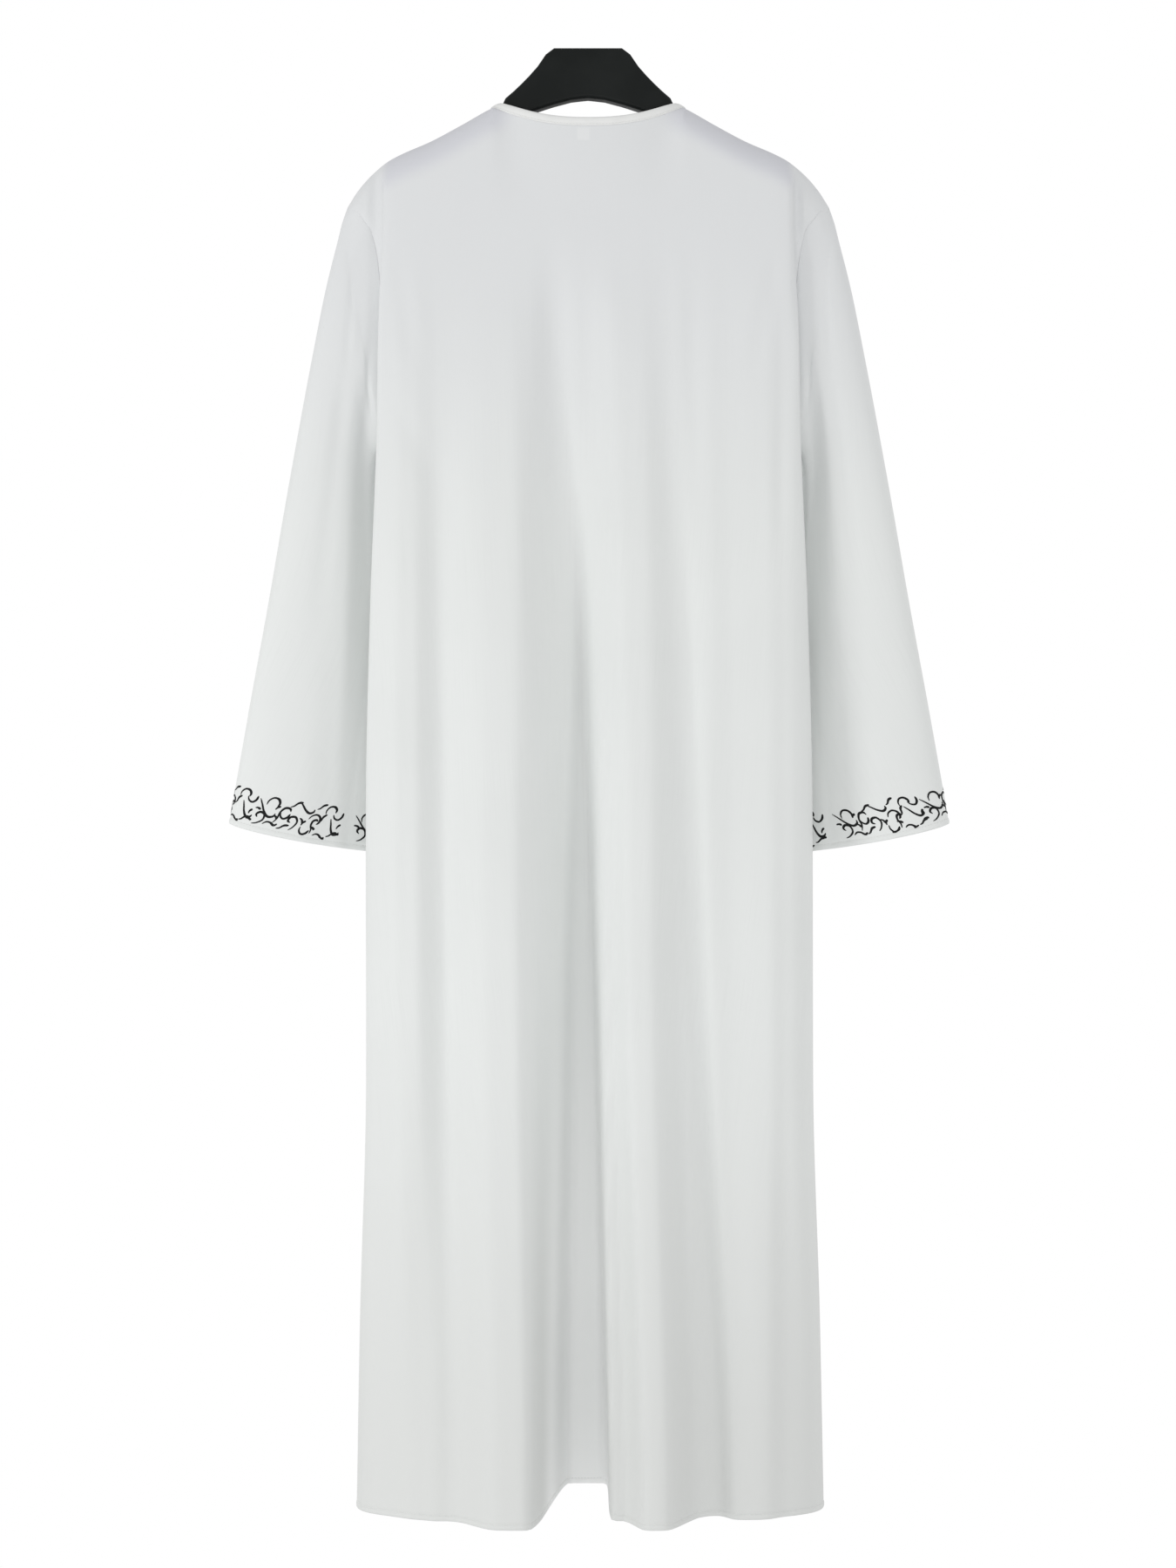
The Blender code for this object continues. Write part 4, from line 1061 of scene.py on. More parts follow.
def cloth_piece(sheet, material, slit=False):
    bm = grid_mesh(sheet["points"], sheet["uv"], sheet["closed"])
    if not sheet["closed"]:
        face_outwards(bm, sheet)
    if slit:
        open_slit(bm, sheet["points"][:, back_panel.middle], SLIT_END)
    paint_hanger_shade(bm)
    if sheet["name"] == "back":
        paint_fold_light(bm)
    piece = add_piece(sheet["name"] + "_cloth", bm, material)
    thin_at_armholes(piece, give_wall(piece, CLOTH))
    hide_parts(sheet["name"])
    return piece


back_cloth = cloth_piece(sheets["back"], BACK_CLOTH)
front_cloth = cloth_piece(sheets["front"], ROBE_CLOTH, slit=True)
left_cloth = cloth_piece(sheets["sleeve_left"], ROBE_CLOTH)
right_cloth = cloth_piece(sheets["sleeve_right"], ROBE_CLOTH)
for piece in (back_cloth, front_cloth, left_cloth, right_cloth):
    print(piece.name, len(piece.data.polygons), "faces")

# %% [markdown]
# ## Neck binding
#
# A collarless neck is finished with a narrow bias strip folded over the raw edge. Its section, an
# upside-down U, is swept along the neck edge from one side of the slit to the other, and pinched
# shut at both ends, where the real one is tucked in.

# %% The binding's strip
BINDING_SECTION = (
    # up,     out
    (-0.0006, 0.0003),
    (0.0004, 0.0010),
    (0.0011, 0.0008),          # its stitches sink in here
    (0.0018, 0.0011),
    (0.0040, 0.0014),
    (0.0062, 0.0012),
    (0.0075, 0.0006),
    (0.0080, -0.0005),
    (0.0077, -0.0015),
    (0.0062, -0.0021),
    (0.0040, -0.0022),
    (0.0016, -0.0019),
    (-0.0006, -0.0014),
)
BINDING_WALL = 0.0005
END_PINCH = 0.12               # how much of its thickness the strip keeps at its two ends
SMOOTH_STEPS = 4


def finer(points, steps):
    """More points along a line, on smooth curves through the given ones."""
    table = [(i, *point) for i, point in enumerate(points)]
    at = np.linspace(0, len(points) - 1, (len(points) - 1) * steps + 1)
    columns = [table_value(table, c, at) for c in range(1, points.shape[1] + 1)]
    return np.stack(columns, axis=1)


def cloth_tape_finish(name, colour, threads):
    finish = Finish(name, Sheen_Weight=0.25, Sheen_Roughness=0.4, Specular_IOR_Level=0.35)
    u, v = finish.surface("cloth")
    soft = finish.noise(finish.place(), 60.0)
    darker = tuple(0.93 * part for part in colour[:3]) + (1,)
    finish.feed("Base Color", finish.mix(soft.fade(0.35, 0.8) * 0.5, colour, darker))
    finish.feed("Roughness", 0.66 + soft * 0.14)
    finish.bump(weave(finish, u + v, u - v, threads), WEAVE_RELIEF)
    return finish.material


BINDING_CLOTH = cloth_tape_finish("binding cloth", (0.84, 0.845, 0.835, 1), THREADS)
edge = neck_points.copy()
edge[0, 0] += SLIT_TOP_GAP / 2
edge[-1, 0] -= SLIT_TOP_GAP / 2
edge, edge_up, edge_out = (finer(line, SMOOTH_STEPS) for line in (edge, neck_up, neck_out))
profile = np.array(BINDING_SECTION)
profile_middle = profile[:, 1].mean()
fullness = np.ones(len(edge))
fullness[[0, -1]] = END_PINCH
sideways = profile_middle + (profile[:, 1] - profile_middle) * fullness[:, None]
strip = edge[:, None] + edge_up[:, None] * profile[:, :1] + edge_out[:, None] * sideways[..., None]
bm = grid_mesh(strip, length_map(strip))
face_outwards(bm, {"points": strip, "normals": np.broadcast_to(edge_up[:, None], strip.shape)})
neck_binding = add_piece("neck_binding_tape", bm, BINDING_CLOTH)
give_wall(neck_binding, BINDING_WALL)
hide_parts("neck_binding")
print("binding:", len(neck_binding.data.polygons), "faces")

# %% [markdown]
# ## Label
#
# A small bare tape is folded double and sewn into the back of the neck. It is a thin strip that
# goes down, round the fold and up again, against the inside of the back.

# %% The folded label
LABEL_SIZE = 0.0130
LABEL_TAPE = 0.00030           # thickness of the tape
LABEL_FOLD = 0.00035           # half the room between its two layers
LABEL_STEPS = 12
LABEL_TURN_STEPS = 7
LABEL_COLUMNS = 9
LABEL_DROP = 0.0008            # from the neck edge to the tape's top
LABEL_GAP = 1.3 * CLOTH + LABEL_TAPE + 0.0002

inside = sheets["back"]["points"][:, back_panel.middle]
LABEL_TOP = float(inside[0, 2]) - LABEL_DROP


def label_strip():
    """Both layers as one line of points down, round the fold and up, and its width."""
    straight = LABEL_SIZE - LABEL_FOLD
    line = [(-t * straight, 0) for t in np.linspace(0, 1, LABEL_STEPS)]
    for t in np.linspace(0, math.pi, LABEL_TURN_STEPS)[1:-1]:
        line.append((-straight - LABEL_FOLD * math.sin(t), -LABEL_FOLD * (1 - math.cos(t))))
    line += [(-t * straight, -2 * LABEL_FOLD) for t in np.linspace(1, 0, LABEL_STEPS)]
    rows = []
    for down, deep in line:
        z = LABEL_TOP + down
        y = np.interp(-z, -inside[:, 2], inside[:, 1]) - LABEL_GAP + deep
        halves = np.linspace(-0.5, 0.5, LABEL_COLUMNS)
        rows.append([(LABEL_X + t * LABEL_SIZE, y, z) for t in halves])
    return np.array(rows)


LABEL_FINISH = cloth_tape_finish("label tape", (0.87, 0.87, 0.865, 1), 3000)
label_points = label_strip()
bm = grid_mesh(label_points, length_map(label_points))
neck_label = add_piece("neck_label_tape", bm, LABEL_FINISH)
give_wall(neck_label, LABEL_TAPE, offset=0)
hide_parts("neck_label")
print("label length:", round(float(lengths(label_points, 0)[1].max()), 4), "m")

# %% [markdown]
# ## Stitches
#
# A row of lockstitch shows as short, slightly sunk dashes of thread. Each is a small rounded bead
# from the sphere operator, stretched along the seam, and a whole row is one joined mesh.

# %% Rows of stitches
STITCH_PITCH = 0.0032
STITCH_LENGTH = 0.0024
STITCH_WIDTH = 0.00045
STITCH_HEIGHT = 0.00040
STITCH_LIFT = 0.0001
THREAD_COLOUR = (0.66, 0.67, 0.65, 1)
THREAD_LIGHT_COLOUR = (0.825, 0.8375, 0.8125, 1)


def thread_finish():
    finish = Finish("white thread", Sheen_Weight=0.15, Sheen_Roughness=0.3)
    grain = finish.noise(finish.place(), 2400.0)
    colour = finish.mix(grain.fade(0.4, 0.7), THREAD_COLOUR, THREAD_LIGHT_COLOUR)
    finish.feed("Base Color", colour)
    finish.feed("Roughness", 0.55 + grain * 0.15)
    finish.bump(grain, 0.00004)
    return finish.material


def at_length(points, along, length):
    """The place on a line at one length, where along holds each point's own."""
    return np.array([np.interp(length, along, points[:, i]) for i in range(3)])


def stitch_row(bm, points, normals):
    """Stitches of one length at one spacing along a line on the cloth."""
    steps = np.linalg.norm(np.diff(points, axis=0), axis=1)
    along = np.concatenate([[0], np.cumsum(steps)])
    for start in np.arange(STITCH_PITCH / 2, along[-1] - STITCH_LENGTH, STITCH_PITCH):
        first, last = (at_length(points, along, start + more) for more in (0, STITCH_LENGTH))
        normal = Vector(at_length(normals, along, start)).normalized()
        forward = Vector(last - first).normalized()
        side = forward.cross(normal).normalized()
        axes = (forward * STITCH_LENGTH, side * STITCH_WIDTH, side.cross(forward) * STITCH_HEIGHT)
        place = Matrix.Translation(Vector((first + last) / 2)) @ Matrix(axes).transposed().to_4x4()
        bmesh.ops.create_uvsphere(bm, u_segments=6, v_segments=4, radius=0.5, matrix=place)


def line_at_height(sheet, height):
    """The points and normals of a sheet at one distance from its hem, for each column."""
    up = sheet["from_hem"][::-1]
    columns = range(up.shape[1])
    return tuple(
        np.array([at_length(sheet[kind][::-1, c], up[:, c], height) for c in columns])
        for kind in ("points", "normals")
    )


def stitches(name, lines):
    bm = bmesh.new()
    for points, normals in lines:
        stitch_row(bm, points, normals)
    bmesh.ops.recalc_face_normals(bm, faces=bm.faces[:])
    piece = add_piece(name, bm, WHITE_THREAD)
    print(name, len(piece.data.polygons), "faces")
    return piece


WHITE_THREAD = thread_finish()
hem_stitches = {name: stitches(name + "_hem_stitches", [line_at_height(sheet, HEM_WIDTH)])
                for name, sheet in sheets.items()}

slit_rows = int(np.searchsorted(ARMHOLE_ROWS, SLIT_END))
slit_lines = []
for hand in (1, -1):
    line = sheets["front"]["points"][: slit_rows + 3, back_panel.middle].copy()
    opened = np.clip((line[:, 2] - line[slit_rows, 2]) / (line[0, 2] - line[slit_rows, 2]), 0, 1)
    line[:, 0] += hand * (SLIT_TOP_GAP / 2 * opened + HEM_WIDTH)
    line[:, 1] -= STITCH_LIFT
    slit_lines.append((line, sheets["front"]["normals"][: slit_rows + 3, back_panel.middle]))
slit_stitches = stitches("front_slit_stitches", slit_lines)
stitch_up, stitch_out = BINDING_SECTION[2]
binding_line = edge + edge_up * stitch_up + edge_out * stitch_out
binding_stitches = stitches("neck_binding_stitches", [(binding_line, edge_out)])

# %% [markdown]
# ## Embroidery
#
# Both cuffs carry a band of black scrolls in satin stitch: sickles, cups, arches and curls, as a
# wandering vine has them. They are an own design of ordinary strokes. A band repeats one group of
# them, listed one by one, because strokes strewn at random would cross or leave holes.

# %% The strokes and their places in a group
SCROLLS = {
    # points along and up the cuff, in metres
    "curl": ((0, 0), (0.0052, 0.0022), (0.0098, 0.0072), (0.0088, 0.0132), (0.0038, 0.0146),
             (0.0008, 0.0112), (0.0032, 0.0080)),
    "arch": ((0, 0), (0.0010, 0.0052), (0.0052, 0.0088), (0.0105, 0.0078), (0.0132, 0.0032),
             (0.0118, -0.0012)),
    "cup": ((0, 0.0092), (0.0010, 0.0036), (0.0052, 0), (0.0102, 0.0022), (0.0128, 0.0076)),
    "sickle": ((0, 0.0172), (0.0046, 0.0112), (0.0092, 0.0050), (0.0146, 0.0008), (0.0196, 0.0022),
               (0.0206, 0.0060)),
    "crook": ((0, 0), (0.0016, 0.0062), (0.0006, 0.0122), (0.0024, 0.0178), (0.0070, 0.0192),
              (0.0098, 0.0164)),
    "wave": ((0, 0), (0.0040, 0.0026), (0.0082, 0.0020), (0.0122, -0.0010), (0.0160, 0.0008)),
    "sprig": ((0, 0), (0.0034, 0.0016), (0.0068, 0.0056), (0.0118, 0.0072)),
    "leaf": ((0, 0), (0.0026, 0.0020), (0.0062, 0.0024)),
}
GROUP_LENGTH = 0.089
GROUP = (
    # stroke,  along,  up,     turn, size
    ("sickle", 0.0010, 0.0165, 0, 1.00),
    ("curl",   0.0030, 0.0085, 0, 0.92),
    ("leaf",   0.0000, 0.0235, -30, 0.90),
    ("arch",   0.0085, 0.0280, 4, 0.90),
    ("wave",   0.0135, 0.0095, 8, 0.92),
    ("crook",  0.0225, 0.0125, -6, 1.00),
    ("leaf",   0.0195, 0.0265, 24, 0.90),
    ("cup",    0.0255, 0.0185, 8, 0.75),
    ("sprig",  0.0270, 0.0085, -8, 0.90),
    ("curl",   0.0385, 0.0095, 22, 0.90),
    ("sprig",  0.0310, 0.0325, -4, 0.90),
    ("sickle", 0.0405, 0.0255, 12, 0.78),
    ("leaf",   0.0490, 0.0150, 40, 0.95),
    ("cup",    0.0480, 0.0080, -10, 0.78),
    ("leaf",   0.0455, 0.0225, -70, 1.00),
    ("leaf",   0.0195, 0.0200, -60, 0.90),
    ("arch",   0.0530, 0.0220, -14, 0.88),
    ("crook",  0.0605, 0.0085, 8, 0.72),
    ("sprig",  0.0570, 0.0335, 6, 0.80),
    ("sprig",  0.0655, 0.0215, 30, 0.80),
    ("wave",   0.0635, 0.0080, -4, 0.85),
    ("sickle", 0.0720, 0.0150, -6, 0.80),
    ("arch",   0.0690, 0.0310, 16, 0.80),
    ("cup",    0.0800, 0.0260, 22, 0.78),
    ("leaf",   0.0850, 0.0170, 40, 0.90),
    ("leaf",   0.0835, 0.0120, -20, 1.00),
    ("leaf",   0.0590, 0.0165, -50, 0.95),
    ("sprig",  0.0785, 0.0085, -4, 0.80),
)
print("strokes in a group:", len(GROUP))

# %% [markdown]
# ## One stroke
#
# Satin stitch lays thread across a stroke, side by side, so it stands up in the middle and its
# edges are a little ragged. Each stroke is a domed ribbon on a smooth curve, with its own lengths
# as a map, so that the thread's ridges in the finish can cross it.

# %% From a stroke's points to a ribbon
SEAM_CLEAR = 0.005             # the band stops this far short of the underarm seam
STROKE_WIDTH = 0.0020
STROKE_SWELL = 0.35            # how much wider it is at its widest, which is here along it
SWELL_AT, SWELL_LENGTH = 0.72, 0.22
STROKE_HEIGHT = 0.00065
STROKE_SINK = 0.00025          # how deep its edges lie in the cloth
THREAD_PITCH = 0.00055         # from one thread to the next
RAGGED = 0.05                  # share by which its width wavers
STROKE_COLUMNS = 8
CURVE_STEPS = 16


def smooth_line(points, spacing):
    """Evenly spaced points on a smooth curve through a stroke's own points (Catmull-Rom)."""
    points = np.array(points, float)
    padded = np.concatenate([[2 * points[0] - points[1]], points, [2 * points[-1] - points[-2]]])
    t = np.linspace(0, 1, CURVE_STEPS, endpoint=False)[:, None]
    runs = []
    for a, b, c, d in zip(padded, padded[1:], padded[2:], padded[3:]):
        runs.append(0.5 * (2 * b + (c - a) * t + (2 * a - 5 * b + 4 * c - d) * t ** 2
                           + (3 * b - a - 3 * c + d) * t ** 3))
    line = np.concatenate(runs + [points[-1:]])
    along = np.concatenate([[0], np.cumsum(np.linalg.norm(np.diff(line, axis=0), axis=1))])
    at = np.linspace(0, along[-1], max(6, int(along[-1] / spacing) + 1))
    return np.stack([np.interp(at, along, line[:, i]) for i in range(2)], axis=1)


def ribbon(line, rng):
    """A stroke's flat grid, (along, up, height) for each point: ragged at its sides and domed."""
    tangent = np.gradient(line, axis=0)
    tangent /= np.linalg.norm(tangent, axis=1, keepdims=True)
    side = np.stack([-tangent[:, 1], tangent[:, 0]], axis=1)
    t = np.linspace(0, 1, len(line))
    ends = np.minimum(1, np.minimum(3 * (t + 0.03), 9 * (1.01 - t))) ** 0.7
    swell = 1 + STROKE_SWELL * np.exp(-(((t - SWELL_AT) / SWELL_LENGTH) ** 2))
    width = STROKE_WIDTH * (0.4 + 0.6 * ends) * swell
    width *= 1 + RAGGED * np.array([rng.uniform(-1, 1) for _ in t])
    angle = np.linspace(0, math.pi, STROKE_COLUMNS)
    offset = -np.cos(angle)[None, :, None] * width[:, None, None] / 2
    flat = line[:, None] + side[:, None] * offset
    ends = np.minimum(1, 8 * np.minimum(t + 0.01, 1.01 - t)) ** 0.5
    height = STROKE_HEIGHT * np.sin(angle)[None, :] * ends[:, None] - STROKE_SINK
    return np.concatenate([flat, height[..., None]], axis=2)


def close_ends(bm):
    """Fills the open ends of a tube."""
    rim = [edge for edge in bm.edges if edge.is_boundary]
    bmesh.ops.holes_fill(bm, edges=rim, sides=0)
    bmesh.ops.recalc_face_normals(bm, faces=bm.faces[:])


middle_line = smooth_line(SCROLLS["sickle"], THREAD_PITCH)
print("points along a sickle:", len(middle_line))

# %% [markdown]
# ## A band on a cuff
#
# The strokes are drawn flat and then laid on the sleeve's own surface, as embroidery is, so they
# follow its folds. Each is moved and turned a little at random with a fixed seed, because a
# machine's repeat wanders with the cloth.

# %% Where the strokes lie on a cuff
RING_STEP = 0.0005
BAND_REACH = 0.062             # the part of the sleeve above its hem that a band may use
TURN_PLAY = 7                  # degrees
ALONG_PLAY = 0.0008
UP_PLAY = 0.001


class Cuff:
    """Finds places on a sleeve from a length round its cuff and a height above its hem."""

    def __init__(self, sheet):
        self.heights = np.arange(0, BAND_REACH, RING_STEP)
        rings = [line_at_height(sheet, height) for height in self.heights]
        self.points = np.array([ring[0] for ring in rings])
        self.normals = np.array([ring[1] for ring in rings])
        self.along, whole = lengths(self.points, 1)
        self.whole = float(whole.mean())

    def place(self, along, up, out):
        row = np.clip(up / RING_STEP, 0, len(self.heights) - 1.001)
        low, share = int(row), row - int(row)
        found = []
        for kind in (self.points, self.normals):
            lower, upper = (at_length(kind[r], self.along[r], along) for r in (low, low + 1))
            found.append(lower * (1 - share) + upper * share)
        return found[0] + found[1] / np.linalg.norm(found[1]) * out


def band_strokes(whole, seed, hand):
    """The centre lines of a whole band: the group repeated round the cuff."""
    rng = random.Random(seed)
    count = round((whole - 2 * SEAM_CLEAR) / GROUP_LENGTH)
    stretch = (whole - 2 * SEAM_CLEAR) / (count * GROUP_LENGTH)
    lines = []
    for number in range(count):
        for name, along, up, turn, size in GROUP:
            line = np.array(SCROLLS[name]) * size
            angle = math.radians(turn + rng.uniform(-TURN_PLAY, TURN_PLAY))
            cosine, sine = math.cos(angle), math.sin(angle)
            along += rng.uniform(-ALONG_PLAY, ALONG_PLAY)
            up += rng.uniform(-UP_PLAY, UP_PLAY)
            line = line @ np.array([[cosine, sine], [-sine, cosine]]) + (along, up)
            line[:, 0] = (line[:, 0] + number * GROUP_LENGTH) * stretch + SEAM_CLEAR
            if hand < 0:
                line[:, 0] = whole - line[:, 0]
            line[:, 0] = np.clip(line[:, 0], SEAM_CLEAR / 2, whole - SEAM_CLEAR / 2)
            lines.append(smooth_line(line, THREAD_PITCH))
    return lines


left_cuff, right_cuff = Cuff(sheets["sleeve_left"]), Cuff(sheets["sleeve_right"])
print("left cuff:", round(left_cuff.whole, 3), "m round")

# %% [markdown]
# ## Both bands
#
# The thread is black rayon. Its finish has fine ridges across each stroke, where the real one has
# its single threads. All strokes of a band become one piece, closed at their ends.

# %% The satin thread and the two bands
SATIN_DARK = (0.0035, 0.0042, 0.0045, 1)
SATIN_LIGHT = (0.0100, 0.0115, 0.0122, 1)


def satin_finish():
    finish = Finish(
        "black satin stitch", Sheen_Weight=0.04, Sheen_Roughness=0.3, Specular_IOR_Level=0.22,
    )
    across, along = finish.surface("thread")
    wobble = finish.noise(finish.join(across * 700, along * 700), 1.0)
    ridges = (along * (2 * math.pi / THREAD_PITCH) + across * 900 + wobble * 2.5).sine()
    finish.feed("Base Color", finish.mix(wobble, SATIN_DARK, SATIN_LIGHT))
    finish.feed("Roughness", 0.44 + wobble * 0.2)
    finish.bump(ridges * 0.5 + wobble, 0.00012)
    return finish.material


def embroider(name, cuff, seed, hand):
    rng = random.Random(seed)
    bm = bmesh.new()
    for line in band_strokes(cuff.whole, seed, hand):
        flat = ribbon(line, rng)
        places = np.array([[cuff.place(*point) for point in row] for row in flat])
        stroke = grid_mesh(places, length_map(places), layer="thread")
        close_ends(stroke)
        mesh = bpy.data.meshes.new("stroke")
        stroke.to_mesh(mesh)
        stroke.free()
        bm.from_mesh(mesh)
        bpy.data.meshes.remove(mesh)
    piece = add_piece(name, bm, SATIN)
    print(name, len(piece.data.polygons), "faces")
    return piece


SATIN = satin_finish()
left_band = embroider("cuff_embroidery_left", left_cuff, 11, 1)
right_band = embroider("cuff_embroidery_right", right_cuff, 23, -1)

# %% [markdown]
# ## Hanger
#
# The hanger is one moulding of black plastic, with a flat top, slopes down to the neck, and wide
# rounded arms that fill the shoulders. The arms follow the robe's shoulder line from below.

# %% The hanger's sections
HANGER_NECK = (
    # out,   top,    height, half_thick, round_across, round_down
    (0.0000, 0.0000, 0.0495, 0.0085, 0.0040, 0.0040),
    (0.0180, 0.0000, 0.0515, 0.0085, 0.0040, 0.0040),
    (0.0345, 0.0000, 0.0558, 0.0085, 0.0040, 0.0040),
    (0.0385, 0.0016, 0.0556, 0.0085, 0.0040, 0.0040),
    (0.0415, 0.0060, 0.0523, 0.0085, 0.0040, 0.0040),
    (0.0485, 0.0165, 0.0441, 0.0085, 0.0040, 0.0040),
    (0.0605, 0.0300, 0.0348, 0.0085, 0.0040, 0.0040),
    (0.0730, 0.0422, 0.0276, 0.0085, 0.0040, 0.0050),
    (0.0820, 0.0500, 0.0235, 0.0085, 0.0050, 0.0080),
    (0.0865, 0.0630, 0.0150, 0.0085, 0.0070, 0.0075),
)
HANGER_ARM = (
    # out,   sunk,   height, half_thick, round_across, round_down
    (0.0955, 0.0042, 0.0165, 0.0088, 0.0085, 0.0095),
    (0.1050, 0.0002, 0.0202, 0.0110, 0.0105, 0.0150),
    (0.1250, 0.0000, 0.0230, 0.0150, 0.0145, 0.0190),
    (0.1500, 0.0000, 0.0270, 0.0180, 0.0172, 0.0220),
    (0.1720, 0.0000, 0.0288, 0.0185, 0.0178, 0.0240),
    (0.1880, 0.0006, 0.0286, 0.0170, 0.0163, 0.0240),
    (0.1945, 0.0040, 0.0250, 0.0155, 0.0145, 0.0200),
    (0.1975, 0.0080, 0.0180, 0.0100, 0.0090, 0.0120),
)
arm_width = 2 * HANGER_ARM[-1][0]
print("the hanger is", round(arm_width, 3), "m wide")

# %% [markdown]
# ## The hanger's body
#
# Rounded boxes of changing size stand along the hanger, close together at its ends. A sweep of one
# section couldn't grow thicker on the way, and a stack of boxes would show its steps. The grid
# joins them, its rows meet underneath, and both ends are filled and rounded.

# %% Making the hanger
HANGER_EDGE = 0.0040
HANGER_ROOM = 0.0028           # from the cloth's outside to the arm's top
HANGER_STATIONS = 75
HANGER_TURNS = 8
HANGER_CORNERS = ((1, 1, 0), (-1, 1, 90), (-1, -1, 180), (1, -1, 270))
HANGER_SPAN = 0.999            # how much of the width the stations cover, short of both ends
HANGER_BEVEL = 0.0016
PLASTIC_DARK = (0.0068, 0.0086, 0.0081, 1)
PLASTIC_LIGHT = (0.0100, 0.0120, 0.0114, 1)


def hanger_ring(table, x):
    """The points of one section of the hanger, once round."""
    top, height, half_thick, across_top, down_top = table_row(table, abs(x))
    ring = []
    for y_way, z_way, first in HANGER_CORNERS:
        across, down = (across_top, down_top) if z_way > 0 else (HANGER_EDGE, HANGER_EDGE)
        centre_y = y_way * (half_thick - across)
        centre_z = -(top + down) if z_way > 0 else -(top + height - down)
        for step in range(HANGER_TURNS + 1):
            angle = math.radians(first + 90 * step / HANGER_TURNS)
            ring.append((x, centre_y + across * math.cos(angle), centre_z + down * math.sin(angle)))
    return ring + ring[:1]


def plastic_finish():
    finish = Finish("black plastic", Specular_IOR_Level=0.16)
    grain = finish.noise(finish.place(), 1500.0)
    rubbed = finish.noise(finish.place(), 28.0, 4.0)
    finish.feed("Base Color", finish.mix(rubbed.fade(0.4, 0.75), PLASTIC_DARK, PLASTIC_LIGHT))
    finish.feed("Roughness", 0.40 + rubbed * 0.12)
    finish.bump(grain, 0.00004)
    return finish.material


arm_tops = [
    (out, float(table_value(SHOULDER_LINE, 1, out)) + HANGER_ROOM + sunk, *rest)
    for out, sunk, *rest in HANGER_ARM
]
half_table = list(HANGER_NECK) + arm_tops
tip = half_table[-1][0]
stations = tip * np.sin(np.linspace(-math.pi / 2, math.pi / 2, HANGER_STATIONS) * HANGER_SPAN)
rings = np.array([hanger_ring(half_table, float(x)) for x in stations])
bm = grid_mesh(rings, length_map(rings), closed=True)
close_ends(bm)
caps = [face for face in bm.faces if len(face.verts) > 4]
rims = [edge for edge in bm.edges if any(face in caps for face in edge.link_faces)]
bmesh.ops.bevel(
    bm, geom=rims, offset=HANGER_BEVEL, offset_type="OFFSET", segments=3, profile=0.5,
    affect="EDGES", material=-1,
)
hanger = add_piece("hanger_moulding", bm, plastic_finish())
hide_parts("hanger")
print("hanger:", len(hanger.data.polygons), "faces")

# %% [markdown]
# ## The sheets' lengths
#
# Each cut piece is a thin sheet. Its widest and longest lengths are measured over the grids above,
# all the way round on a sleeve, and nothing uses them further.

# %% The sheets' flat sizes


def declare_sheet(points):
    """Measures a sheet's widest and longest lengths, which nothing uses further."""
    wide, long = (float(lengths(points, axis)[1].max()) for axis in (1, 0))


for name, piece, sewn_on in (
    ("back", back_cloth, (hem_stitches["back"],)),
    ("front", front_cloth, (hem_stitches["front"], slit_stitches)),
    ("sleeve_left", left_cloth, (hem_stitches["sleeve_left"], left_band)),
    ("sleeve_right", right_cloth, (hem_stitches["sleeve_right"], right_band)),
):
    declare_sheet(sheets[name]["points"])
declare_sheet(strip)
declare_sheet(label_points)

# %% [markdown]
# ## Floor and room
#
# The photograph shows the robe from behind, before plain white. The floor is a pale round, clear
# below the hem. The room is seen as full white but gives less light than that, so the folds keep
# their shade.

# %% The floor and the room
FLOOR_Z = -1.70
FLOOR_RADIUS = 0.60
WORLD_LIGHT = 0.66

scene = bpy.context.scene
bm = bmesh.new()
bmesh.ops.create_circle(bm, cap_ends=True, segments=96, radius=FLOOR_RADIUS)
floor_mesh = bpy.data.meshes.new("floor")
bm.to_mesh(floor_mesh)
bm.free()
floor_mesh.transform(Matrix.Translation((0, 0, FLOOR_Z)))
floor = bpy.data.objects.new("floor", floor_mesh)
scene.collection.objects.link(floor)
floor_finish = Finish("pale floor", Base_Color=(0.85, 0.85, 0.85, 1), Roughness=0.9)
floor_mesh.materials.append(floor_finish.material)

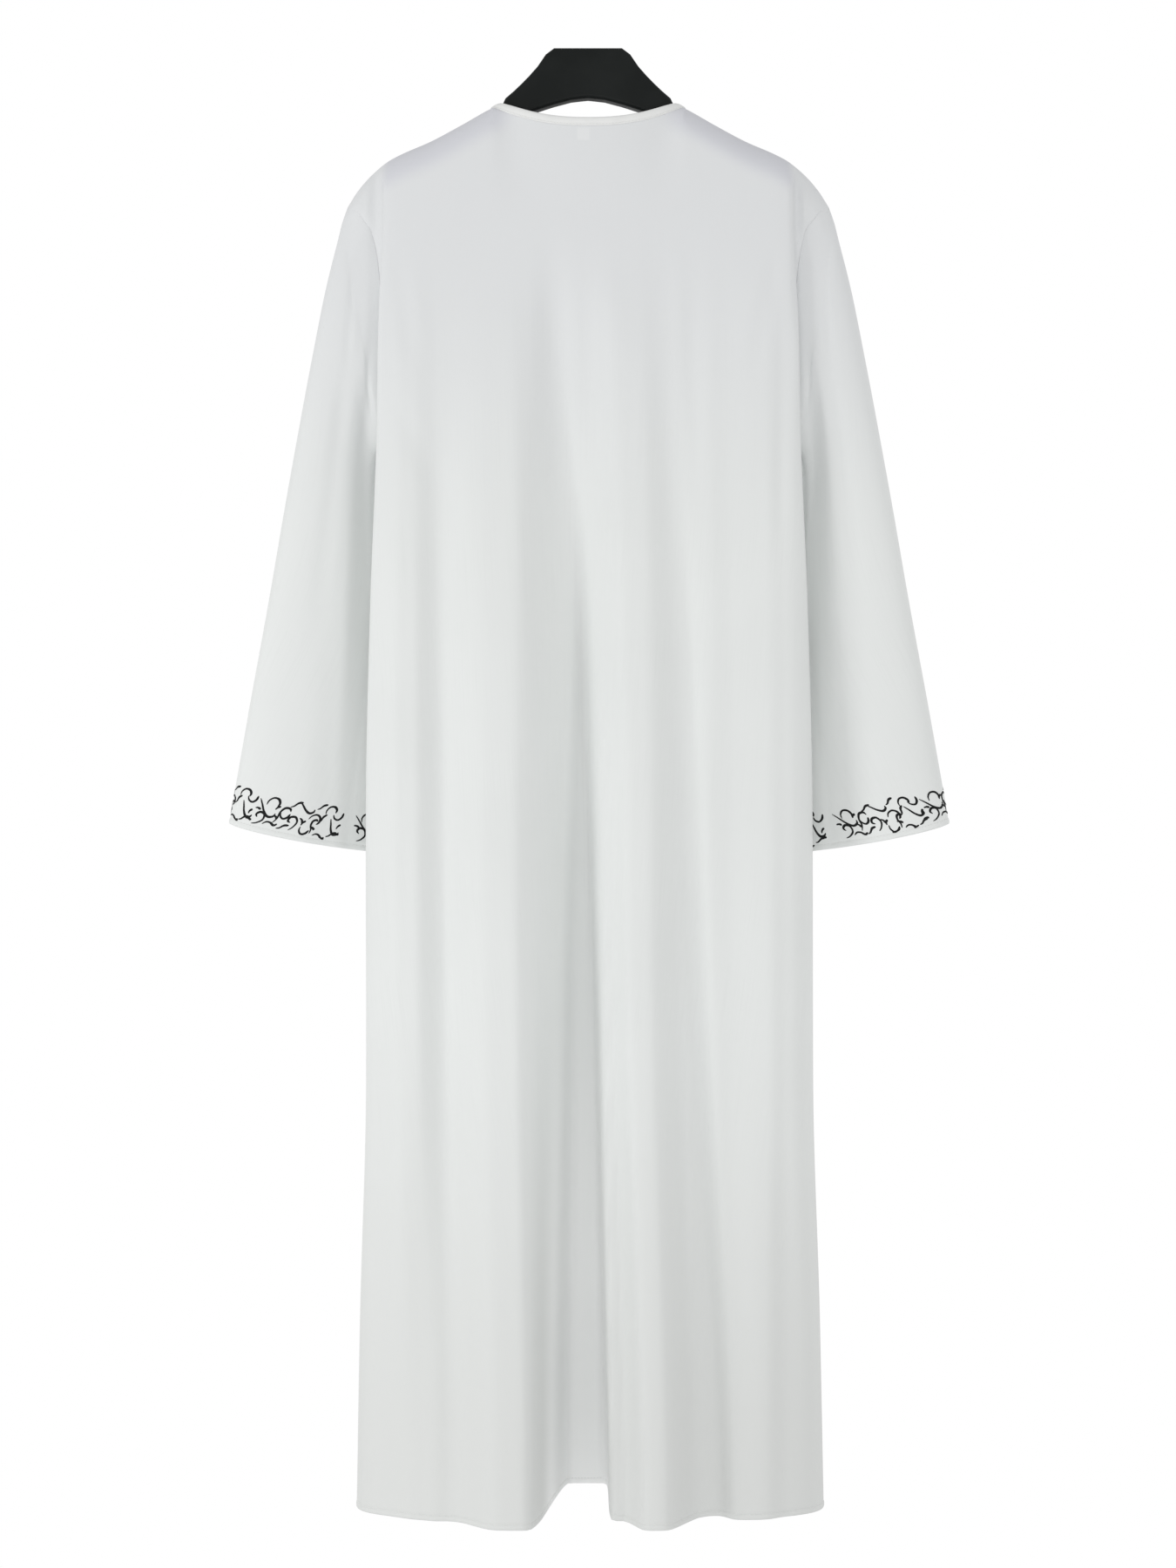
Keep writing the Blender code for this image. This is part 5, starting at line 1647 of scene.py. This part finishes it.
world = bpy.data.worlds.new("white room")
world.use_nodes = True
nodes, links = world.node_tree.nodes, world.node_tree.links
background = nodes["Background"]
background.inputs["Color"].default_value = (1, 1, 1, 1)
seen = nodes.new("ShaderNodeLightPath")
strength = nodes.new("ShaderNodeMapRange")
strength.inputs["To Min"].default_value = WORLD_LIGHT
strength.inputs["To Max"].default_value = 1.0
links.new(seen.outputs["Is Camera Ray"], strength.inputs["Value"])
links.new(strength.outputs["Result"], background.inputs["Strength"])
scene.world = world
print("floor at", FLOOR_Z, "m")

# %% [markdown]
# ## Light and camera
#
# The folds run down the cloth, so soft light across them shows them, and light from straight ahead
# hides them. It comes mostly from the picture's left, as in the photograph, and two more softboxes
# light the robe's front for the other views. The camera stands level behind the robe, as far off
# as a product photograph is taken.

# %% The softboxes and the camera
CAMERA_DISTANCE = 2.6
CAMERA_HEIGHT = -0.725
LENS = 60.47
LIGHTS = (
    # name, place, aim, power, width, height
    ("left softbox", (2.3, 1.3, -0.9), (0.0, 0.0, -0.85), 19.0, 0.9, 2.2),
    ("softbox beside the camera", (0.5, 3.4, -1.2), (0.0, 0.0, -1.2), 14.0, 1.6, 2.0),
    ("right softbox", (-2.0, 2.0, -0.8), (0.0, 0.0, -0.8), 9.0, 0.8, 2.2),
    ("softbox before the robe", (1.4, -2.9, -0.7), (0.0, 0.0, -0.8), 20.0, 1.4, 2.2),
    ("small softbox before the robe", (-2.3, -1.5, -0.8), (0.0, 0.0, -0.8), 9.0, 0.8, 2.2),
)

for name, place, aim, power, width, height in LIGHTS:
    light = bpy.data.lights.new(name, "AREA")
    light.shape = "RECTANGLE"
    light.size, light.size_y = width, height
    light.energy = power
    lamp = bpy.data.objects.new(name, light)
    lamp.location = place
    lamp.rotation_euler = (Vector(place) - Vector(aim)).to_track_quat("Z", "Y").to_euler()
    scene.collection.objects.link(lamp)

camera = bpy.data.cameras.new("camera")
camera.lens = LENS
holder = bpy.data.objects.new("camera", camera)
holder.location = (0, CAMERA_DISTANCE, CAMERA_HEIGHT)
holder.rotation_euler = (math.pi / 2, 0, math.pi)
scene.collection.objects.link(holder)
scene.camera = holder
scene.view_settings.view_transform = "Standard"
print("camera", CAMERA_DISTANCE, "m behind the robe")
